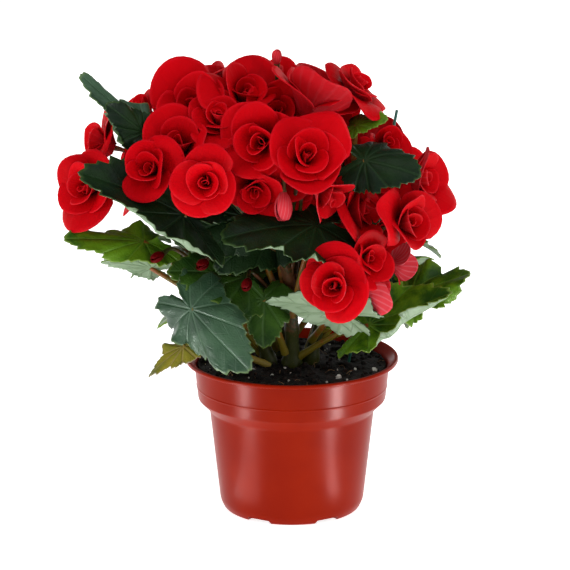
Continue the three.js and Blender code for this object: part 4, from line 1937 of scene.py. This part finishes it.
@dataclass
class Branch:
    """A jointed trunk with the stalks of its flowers."""

    plan: StemPlan
    first_fork: float = 0.45
    first_inner: float = 0.1
    inner_step: float = 0.4
    trunk_rings: int = 56
    joint_gap: float = 21.0
    first_joint: float = 3.0
    joint_lead: float = 9.0
    joint_swell: float = 0.16
    joint_length: float = 2.6
    soil_height: float = 90.0
    soil_swell: float = 0.45
    ripple: float = 0.03
    stalk_rings: int = 26
    stalk_radius: float = 1.5
    neck: float = 8.0
    rise: float = 0.04

    def trunk(self, spine: Spine, rng: Random) -> Piece:
        """The thick stem, swollen at its joints and at the soil.

        Args:
            spine: Its curve.
            rng: Random source.

        Returns:
            The trunk.
        """
        share = np.linspace(0, 1, self.trunk_rings)
        run = share * spine.length
        lead = self.joint_lead
        past = (run - self.first_joint + lead) % self.joint_gap - lead
        joints = self.joint_swell * np.exp(-((past / self.joint_length) ** 2))
        height = spine.at(share)[:, 2] - self.soil_height
        foot = self.soil_swell * np.exp(-((height / 9.0) ** 2))
        ripple = np.array([
            self.ripple * noise.noise(Vector((r * 0.2, rng.random() * 0.1, 4))) for r in run
        ])
        radii = self.plan.radius * (1.12 - 0.42 * share + joints + foot + ripple)
        return tube(f"{self.plan.name}_trunk", spine.at(share), radii, 4)

    def stalk(self, spine: Spine, head: Head, order: float) -> Piece:
        """One flower stalk from its fork on the trunk to the back of the flower.

        Args:
            spine: The trunk's curve.
            head: Plan of the flower or bud.
            order: 0 for the lowest head of the trunk and 1 for the highest.

        Returns:
            The stalk.
        """
        start = spine.at(self.first_fork + (1 - self.first_fork) * min(1.0, order))
        ahead = direction(head.azimuth, head.elevation)
        neck = np.array(head.at) - ahead * (0.5 * head.size + self.neck)
        middle = (start + neck) / 2 + (0, 0, self.rise * np.linalg.norm(start - neck))
        end = np.array(head.at) - ahead * head.size * 0.42
        line = Spine([tuple(start), tuple(middle), tuple(neck), tuple(end)])
        share = np.linspace(0, 1, self.stalk_rings)
        swell = 0.55 * np.exp(-((share - 1.0) / 0.05) ** 2) + 0.3 * np.exp(-(share / 0.06) ** 2)
        radii = self.stalk_radius * (1.0 - 0.28 * share + swell)
        return tube(f"{head.name}_stalk", line.at(share), radii, 2)

    def build(self, seed: int, skin: Material) -> None:
        """Makes the trunk and its stalks as one piece.

        Args:
            seed: Seed of its irregularities.
            skin: Material of the trunks.
        """
        spine = Spine(self.plan.trunk)
        rods = [self.trunk(spine, Random(seed))]
        for i, name in enumerate((*self.plan.flowers, *self.plan.buds)):
            rods.append(self.stalk(spine, HEADS[name], i / (len(self.plan.flowers) - 1)))
        for i, name in enumerate(self.plan.inner):
            blooms = isinstance(HEADS[name], BloomPlan)
            order = self.first_inner + self.inner_step * i if blooms else 0.0
            rods.append(self.stalk(spine, HEADS[name], order))
        branch = join(rods, f"branch_{self.plan.name}")
        smooth(branch)
        dress(branch, skin)
        hand_in(branch, "stem", f"stem_{self.plan.name}")


# ------------------------------------------------------------------ leaves


@dataclass(frozen=True)
class MarginRoll:
    """A stretch of a leaf's margin that curls up: bearing, width and height."""

    bearing: float
    width: float
    rise: float


@dataclass(frozen=True)
class LeafPlan:
    """Place and look of one leaf, with its arch and cup in degrees; an extra one has no node."""

    name: str
    root: Point
    base: Point
    tip: Point
    face: Point
    width: float
    arch: float
    cup: float
    tone: LeafTone = LeafTone.DARK
    wave: float = 1.6
    rolls: Sequence[MarginRoll] = ()
    taper: float = 0.55
    extra: bool = False


DARK, PAINTED_HALF_SHADE, PAINTED_LIGHT, PAINTED_SHEEN, DRY = LeafTone

# Each leaf's tone paints the shade or light that falls on it, or a reflection; most extra leaves
# inside the plant are painted dark as shade.
LEAVES = (
    LeafPlan("centre", (0, -14, 124), (14, -45, 188), (-38, -62, 184), (-0.05, -0.5, 0.86),
             1.0, 25, 35, DARK, 1.4,
             (MarginRoll(34, 15, 9.0), MarginRoll(68, 16, 10.0), MarginRoll(104, 12, 4.5))),
    LeafPlan("left_arm", (-26, -9, 126), (-64, -40, 193), (-121, -48, 220), (-0.3, -0.5, 0.8),
             0.95, 15, -25, DARK, 1.2, (MarginRoll(45, 26, 5.0), MarginRoll(95, 28, 5.5))),
    LeafPlan("hanging", (-22, -10, 114), (-60, -39, 135), (-27, -57, 104), (-0.4, -0.8, 0.4),
             0.86, 20, 60, PAINTED_SHEEN, 2.2, (MarginRoll(70, 12, 3.0), MarginRoll(-75, 14, 4.0)), 0.6),
    LeafPlan("small_front", (-4, -12, 100), (-17, -28, 138), (-17, -38, 113), (0, -0.95, 0.3),
             1.1, 25, 25, PAINTED_HALF_SHADE, 1.2, (MarginRoll(-50, 25, 4.0),)),
    LeafPlan("dark_left", (-24, -9, 118), (-28, -18, 149), (-71, -24, 154), (0, -0.6, 0.8),
             0.95, 20, 20, PAINTED_HALF_SHADE, 2.4, (MarginRoll(-60, 20, 4.0),)),
    LeafPlan("under_centre", (12, -4, 106), (30, -44, 134), (-12, -53, 144), (0, 0.8, 0.6),
             0.75, 20, 10, DARK),
    LeafPlan("right_low", (4, -9, 97), (46, -24, 121), (94, -29, 141), (-0.2, -0.8, 0.6),
             0.72, 10, -30, PAINTED_LIGHT, 3.0, (MarginRoll(-30, 26, 12.0), MarginRoll(-68, 18, 8.0))),
    LeafPlan("right_outer", (18, -2, 112), (72, -8, 136), (106, -11, 147), (-0.2, -0.62, 0.75),
             1.0, 10, 20, PAINTED_LIGHT, 5.0, (MarginRoll(-60, 14, 5.0),)),
    LeafPlan("right_upper", (34, -6, 180), (43, -36, 225), (73, -46, 219), (0.1, -0.75, 0.65),
             1.2, 20, 60, DARK, 1.2),
    LeafPlan("right_top", (35, -6, 186), (38, -15, 242), (55, -22, 247), (0, -0.5, 0.85),
             0.95, 20, 20, PAINTED_LIGHT, 1.0),
    LeafPlan("top_left", (-50, -13, 180), (-86, -24, 243), (-124, -18, 270), (-0.3, -0.5, 0.8),
             0.5, -10, 70, PAINTED_SHEEN, 3.4, (MarginRoll(80, 14, 7.0), MarginRoll(20, 8, 4.0)), 0.38),
    LeafPlan("left_low", (-14, -4, 96), (-89, -13, 170), (-133, -27, 173), (-0.1, -0.5, 0.85),
             0.62, 15, 25, PAINTED_LIGHT, 3.6),
    LeafPlan("left_under", (-14, -2, 92), (-85, -10, 153), (-113, -18, 159), (0, 0.8, 0.6),
             0.6, 10, 15, PAINTED_LIGHT),
    LeafPlan("withered", (-14, -10, 92), (-65, -36, 111), (-85, -40, 95), (-0.3, -0.75, 0.6),
             0.65, 20, 40, DRY, 2.6, (MarginRoll(60, 14, 3.0),), 0.4),
    LeafPlan("back_left_low", (-12, 12, 98), (-66, 37, 150), (-112, 61, 138), (-0.4, 0.5, 0.8),
             1, 40, 20, PAINTED_LIGHT, 2.4),
    LeafPlan("back_right_low", (-4, 13, 97), (46, 35, 146), (86, 59, 134), (0.4, 0.5, 0.8),
             1, 40, 20, PAINTED_LIGHT, 2.0),
    LeafPlan("back_middle", (-7, 15, 98), (-8, 51, 138), (-6, 85, 116), (0, 0.6, 0.8),
             1.05, 45, 20, PAINTED_LIGHT, 2.0),
    LeafPlan("back_left_high", (-16, 26, 150), (-58, 56, 188), (-96, 74, 176), (-0.4, 0.6, 0.7),
             1, 30, 20, PAINTED_HALF_SHADE, 2.0),
    LeafPlan("back_right_high", (-10, 26, 150), (36, 59, 184), (72, 74, 172), (0.4, 0.6, 0.7),
             1, 30, 20, PAINTED_HALF_SHADE, 2.0),
    LeafPlan("right_back", (17, 0, 112), (60, 17, 164), (90, 34, 151), (0.3, 0.3, 0.9),
             0.9, 30, 20, PAINTED_HALF_SHADE, 2.2),
    LeafPlan("inner_left", (-8, 3, 98), (-30, -2, 142), (-64, -10, 126), (-0.2, -0.8, 0.55),
             1.0, 30, 25, PAINTED_HALF_SHADE, 2.0, (), 0.5, True),
    LeafPlan("inner_middle", (0, 4, 98), (4, 2, 160), (-30, -8, 138), (0, -0.8, 0.6),
             1.05, 25, 25, DARK, 2.0, (), 0.5, True),
    LeafPlan("inner_right", (10, 4, 98), (30, 2, 162), (58, -8, 138), (0.1, -0.8, 0.6),
             1.05, 25, 25, DARK, 2.0, (), 0.5, True),
    LeafPlan("inner_right_low", (12, 2, 96), (48, -4, 140), (72, -14, 122), (0.2, -0.7, 0.7),
             1.0, 25, 25, DARK, 2.0, (), 0.5, True),
    LeafPlan("inner_behind_centre", (-2, -12, 120), (-12, -14, 178), (-44, -30, 158),
             (-0.1, -0.8, 0.6), 1.0, 25, 25, DARK, 2.0, (), 0.5, True),
    LeafPlan("inner_fill", (-6, -12, 130), (-30, -20, 187), (-68, -29, 176),
             (0, -0.9, 0.4), 1.0, 25, 25, DARK, 2.0, (), 0.5, True),
    LeafPlan("inner_side_right", (20, 0, 118), (52, 16, 158), (84, 22, 132),
             (0.7, 0.1, 0.7), 1.0, 30, 25, PAINTED_HALF_SHADE, 2.4, (), 0.5, True),
    LeafPlan("inner_side_right_low", (10, 6, 98), (44, 22, 132), (72, 36, 106),
             (0.6, 0.3, 0.7), 1.0, 30, 25, PAINTED_LIGHT, 2.4, (), 0.5, True),
    LeafPlan("inner_side_left", (-24, -6, 120), (-64, 14, 160), (-98, 22, 142),
             (-0.6, 0.2, 0.75), 1.0, 30, 25, PAINTED_HALF_SHADE, 2.4, (), 0.5, True),
    LeafPlan("inner_side_left_low", (-10, 4, 98), (-50, 16, 128), (-80, 26, 106),
             (-0.6, 0.2, 0.7), 1.0, 30, 25, PAINTED_LIGHT, 2.4, (), 0.5, True),
    LeafPlan("inner_back_high", (-12, 26, 150), (-20, 44, 196), (-24, 76, 178),
             (0, 0.7, 0.7), 1.05, 30, 25, PAINTED_HALF_SHADE, 2.4, (), 0.5, True),
    LeafPlan("inner_top_left", (-50, -13, 182), (-88, -30, 241), (-108, -35, 258),
             (-0.2, -0.85, 0.5), 0.85, 20, 30, DARK, 3.0, (MarginRoll(50, 16, 5.0),), 0.5, True),
    LeafPlan("inner_high_left", (-40, -11, 158), (-50, -8, 205), (-86, -22, 196),
             (-0.2, -0.7, 0.7), 1.0, 25, 25, DARK, 2.0, (), 0.5, True),
    LeafPlan("inner_high_right", (30, -4, 152), (22, -10, 204), (50, -24, 186),
             (0.1, -0.8, 0.6), 1.0, 25, 25, DARK, 2.0, (), 0.5, True),
)


@dataclass
class LeafFinishes:
    """The finishes that the leaves share, each made once."""

    upper: dict = field(default_factory=dict)
    under: dict = field(default_factory=dict)
    stalk: dict = field(default_factory=dict)

    def __post_init__(self) -> None:
        """Makes an upper side for each tone, and fresh and dry undersides and stalks."""
        for tone in LeafTone:
            self.upper[tone] = LeafSkin(tone).material()
        for dry in (False, True):
            self.under[dry] = LeafUnderside(dry).material()
            kind = StemKind.DRY_STALK if dry else StemKind.LEAF_STALK
            self.stalk[dry] = StemSkin(kind).material()


@dataclass(frozen=True)
class BladeShape:
    """A curved blade: its directions, half its arch, its length and its two bend radii."""

    ahead: Array
    across: Array
    up: Array
    half: float
    length: float
    arch_radius: float
    cup_radius: float


@dataclass
class Leaf:
    """A lopsided heart-shaped blade with a toothed margin, and its stalk."""

    plan: LeafPlan
    finishes: LeafFinishes
    spokes: int = 152
    rings: int = 18
    body: float = 0.56
    point: float = 0.44
    notch: float = 0.4
    notch_width: float = 0.35
    lobes: int = 7
    lobe_depth: float = 0.05
    lopsided: float = 0.08
    teeth: int = 38
    tooth: float = 0.036
    tooth_change: float = 0.014
    big_tooth: float = 0.060
    teeth_in_big: float = 3.0
    teeth_from: float = 0.86
    quilt: float = 0.035
    quilt_width: float = 2.6
    vein_ripple: float = 0.22
    thickness: float = 0.7
    stalk_radius: float = 1.9
    stalk_rings: int = 24
    veins: Sequence[float] = (0, 30, -30, 62, -62, 98, -98, 143, -143)

    def reach(self, bearing: Array) -> Array:
        """Distance from the blade's base to its margin.

        Args:
            bearing: Radians from the tip.

        Returns:
            The distance as a share of the length.
        """
        to_tip = bearing / self.plan.taper
        to_notch = (math.pi - np.abs(bearing)) / self.notch_width
        outline = self.body + self.point * np.exp(-to_tip**2) - self.notch * np.exp(-to_notch**2)
        lobed = 1 + self.lobe_depth * np.cos(self.lobes * bearing)
        return outline * lobed * (1 + self.lopsided * np.sin(bearing))

    def margin(self) -> Tuple[Array, Array]:
        """Measures half of the margin.

        Returns:
            Bearings from the tip to the notch, and the share of the margin before each.
        """
        bearing = np.linspace(0, math.pi, 300)
        r = self.reach(bearing)
        steps = np.hypot(np.diff(r), (r[1:] + r[:-1]) / 2 * np.diff(bearing))
        share = np.concatenate([[0], np.cumsum(steps)])
        return bearing, share / share[-1]

    def outward(self, bearing: Array) -> Tuple[Array, Array]:
        """Direction square to the margin, in the flat blade.

        Args:
            bearing: Radians from the tip.

        Returns:
            Its two parts: towards the tip and to the side.
        """
        r, nudge = self.reach(bearing), 0.01
        slope = (self.reach(bearing + nudge) - self.reach(bearing - nudge)) / (2 * nudge)
        run_x = slope * np.cos(bearing) - r * np.sin(bearing)
        run_y = slope * np.sin(bearing) + r * np.cos(bearing)
        long = np.hypot(run_x, run_y)
        return run_y / long, -run_x / long

    def toothing(self, bearing: Array, rng: Random) -> Array:
        """How far the teeth stand out of the margin.

        Args:
            bearing: Radians from the tip.
            rng: Random source.

        Returns:
            The distance as a share of the length.
        """
        phase = rng.uniform(0, 1)
        bearings, shares = self.margin()
        turn = np.interp(np.abs(bearing), bearings, shares) * self.teeth / 2 + phase
        saw = 1.0 - (turn % 1.0)
        big = 1.0 - ((turn / self.teeth_in_big) % 1.0)
        fade = np.clip((math.pi - np.abs(bearing)) / 0.5, 0, 1)
        size = self.tooth + self.tooth_change * np.sin(5 * bearing + 6 * phase)
        return fade * (size * (saw - 0.5) + self.big_tooth * (big - 0.5))

    def shape(self) -> BladeShape:
        """Works out how the blade is curved between its base and its tip.

        Returns:
            The curved shape.
        """
        plan = self.plan
        chord = np.array(plan.tip, float) - np.array(plan.base, float)
        ahead = unit(chord)
        across = unit(np.cross(np.array(plan.face, float), ahead))
        up = np.cross(ahead, across)
        half = math.radians(plan.arch) / 2
        length = np.linalg.norm(chord) * half / math.sin(half)
        cup_radius = 0.6 * length * plan.width / math.radians(plan.cup)
        return BladeShape(ahead, across, up, half, length, length / (2 * half), cup_radius)

    def bend(self, x: Array, y: Array, height: Array) -> Array:
        """Maps the flat blade to the curved blade in place.

        Args:
            x: Distances towards the tip, in millimetres.
            y: Distances to the side, in millimetres.
            height: Heights over the flat blade, in millimetres.

        Returns:
            Points in millimetres.
        """
        shape = self.shape()
        a = y * self.plan.width / shape.cup_radius
        b = x / shape.length * 2 * shape.half - shape.half
        rise = shape.cup_radius * (np.cos(a) - 1) + height * np.cos(a)
        sideways = (shape.cup_radius + height) * np.sin(a)
        forward = shape.arch_radius * (np.sin(b) + math.sin(shape.half)) + rise * np.sin(b)
        over = shape.arch_radius * (np.cos(b) - math.cos(shape.half)) + rise * np.cos(b)
        return (np.array(self.plan.base, float) + forward[:, None] * shape.ahead
                + sideways[:, None] * shape.across + over[:, None] * shape.up)

    def from_vein(self, bearing: Array, reach: Array) -> Tuple[Array, Array]:
        """Measures from the nearest main vein.

        Args:
            bearing: Radians from the tip.
            reach: Millimetres from the blade's base.

        Returns:
            Millimetres along the vein and off it.
        """
        angles = np.radians(np.array(self.veins, float))
        gap = np.abs((bearing[:, None] - angles[None, :] + math.pi) % (2 * math.pi) - math.pi)
        nearest = gap.min(1)
        return reach * np.cos(nearest), reach * np.sin(np.minimum(nearest, 1.2))

    def waves(self, bearing: Array, ring: Array, rng: Random) -> Array:
        """Slow waves that grow towards the margin.

        Args:
            bearing: Radians from the tip.
            ring: 0 at the blade's base to 1 at the margin.
            rng: Random source.

        Returns:
            Heights in millimetres.
        """
        phase, count = rng.uniform(0, WHOLE_TURN), rng.choice((4, 5, 6))
        slow = np.sin(count * bearing + phase) * ring**2.5
        quick = np.sin((2 * count + 1) * bearing + 2 * phase) * ring**4
        return self.plan.wave * slow + 0.4 * self.plan.wave * quick

    def blade(self, rng: Random) -> Piece:
        """The blade with quilted cells, waves, teeth and curled stretches of margin.

        Args:
            rng: Random source.

        Returns:
            The blade.
        """
        blade = grid(f"{self.plan.name}_blade", self.spokes, self.rings)
        flat = coordinates(blade)
        bearings, shares = self.margin()
        bearing = -np.sign(flat[:, 0]) * np.interp(np.abs(flat[:, 0]), shares, bearings)
        ring = ((flat[:, 1] + 1) / 2) ** 0.85
        length = self.shape().length
        tooth_zone = np.clip((ring - self.teeth_from) / (1 - self.teeth_from), 0, 1)
        push = self.toothing(bearing, rng) * tooth_zone * length
        reach = self.reach(bearing) * ring * length
        along, off = self.from_vein(bearing, reach)
        swell = 1 - np.exp(-((off / self.quilt_width) ** 2))
        quilt = self.quilt * length * swell * ring * (1 - 0.4 * ring)
        ripple = np.sin((along - VEIN_SLANT * off) * VEIN_PACE) * np.clip(off / 3, 0, 1) * ring
        height = quilt + self.vein_ripple * ripple + self.waves(bearing, ring, rng)
        for roll in self.plan.rolls:
            near = np.exp(-(((np.degrees(bearing) - roll.bearing) / roll.width) ** 2))
            height = height + roll.rise * near * ring**7
            reach = reach * (1 - 0.10 * near * ring**8)
        out_x, out_y = self.outward(bearing)
        x, y = reach * np.cos(bearing) + push * out_x, reach * np.sin(bearing) + push * out_y
        reshape(blade, self.bend(x, y, height) * MM)
        set_uv(blade, along / UV_SPAN, off / UV_SPAN)
        outer = blade.data.attributes.new("outer", "FLOAT", "POINT")
        outer.data.foreach_set("value", ring)
        close_up(blade)
        tone = self.plan.tone
        dress(blade, self.finishes.upper[tone], self.finishes.under[tone is DRY])
        apply(blade, "SOLIDIFY", thickness=self.thickness * MM, offset=0.0,
              material_offset=1, material_offset_rim=0)
        return blade

    def stalk(self) -> Piece:
        """The leaf stalk, thickest where it leaves the stem.

        Returns:
            The stalk.
        """
        root, base = np.array(self.plan.root, float), np.array(self.plan.base, float)
        middle = (root + base) / 2 + (0, 0, 0.06 * np.linalg.norm(base - root))
        share = np.linspace(0, 1, self.stalk_rings)
        line = Spine([tuple(root), tuple(middle), tuple(base)]).at(share)
        radii = self.stalk_radius * (1.15 - 0.4 * share + 0.25 * np.exp(-(share / 0.08) ** 2))
        return tube(f"{self.plan.name}_stalk", line, radii, 2)

    def build(self, seed: int) -> None:
        """Makes the leaf.

        Args:
            seed: Seed of its irregularities.
        """
        blade, stalk = self.blade(Random(seed)), self.stalk()
        dry = self.plan.tone is DRY
        dress(stalk, self.finishes.stalk[dry])
        leaf = join([blade, stalk], f"foliage_{self.plan.name}")
        smooth(leaf)
        nodes = () if self.plan.extra else (f"leaf_{self.plan.name}",)
        hand_in(leaf, "withered_leaf" if dry else "leaf", *nodes)


# ------------------------------------------------------------------ assembly


def corners() -> list:
    """The whole model's box as plain lists."""
    return [list(map(float, corner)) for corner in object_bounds()]


def main() -> None:
    """Builds the studio and every part of the plant, in order."""
    logging.basicConfig(level=logging.INFO, format="%(name)s: %(message)s")
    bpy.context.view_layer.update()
    Studio().build()
    LOG.info("studio ready")
    pot = NurseryPot()
    pot.build()
    LOG.info("pot, %g mm across its rim", 2 * pot.rim_radius)
    PottingSoil().build(pot)
    LOG.info("soil, grit and fibres")
    FlowerStick().build()
    LOG.info("flower stick")
    trunk_skin = StemSkin(StemKind.TRUNK).material()
    for i, plan in enumerate(STEMS):
        Branch(plan).build(BRANCH_SEED + i, trunk_skin)
        LOG.info("branch %s with %d stalks", plan.name, len(plan.flowers) + len(plan.buds))
    leaf_finishes = LeafFinishes()
    for i, plan in enumerate(LEAVES):
        Leaf(plan, leaf_finishes).build(LEAF_SEED + i)
        LOG.info("leaf %s", plan.name)
    pattern = PetalPattern()
    pattern.build()
    for i, plan in enumerate(BLOOMS):
        Bloom(plan, pattern).build(BLOOM_SEED + i)
        LOG.info("bloom %s", plan.name)
    for i, plan in enumerate(BUDS):
        ClosedBud(plan, pattern).build(BUD_SEED + i)
        LOG.info("bud %s", plan.name)
    discard(pattern.sheet)
    LOG.info("all pieces in place")


if __name__ == "__main__":
    main()
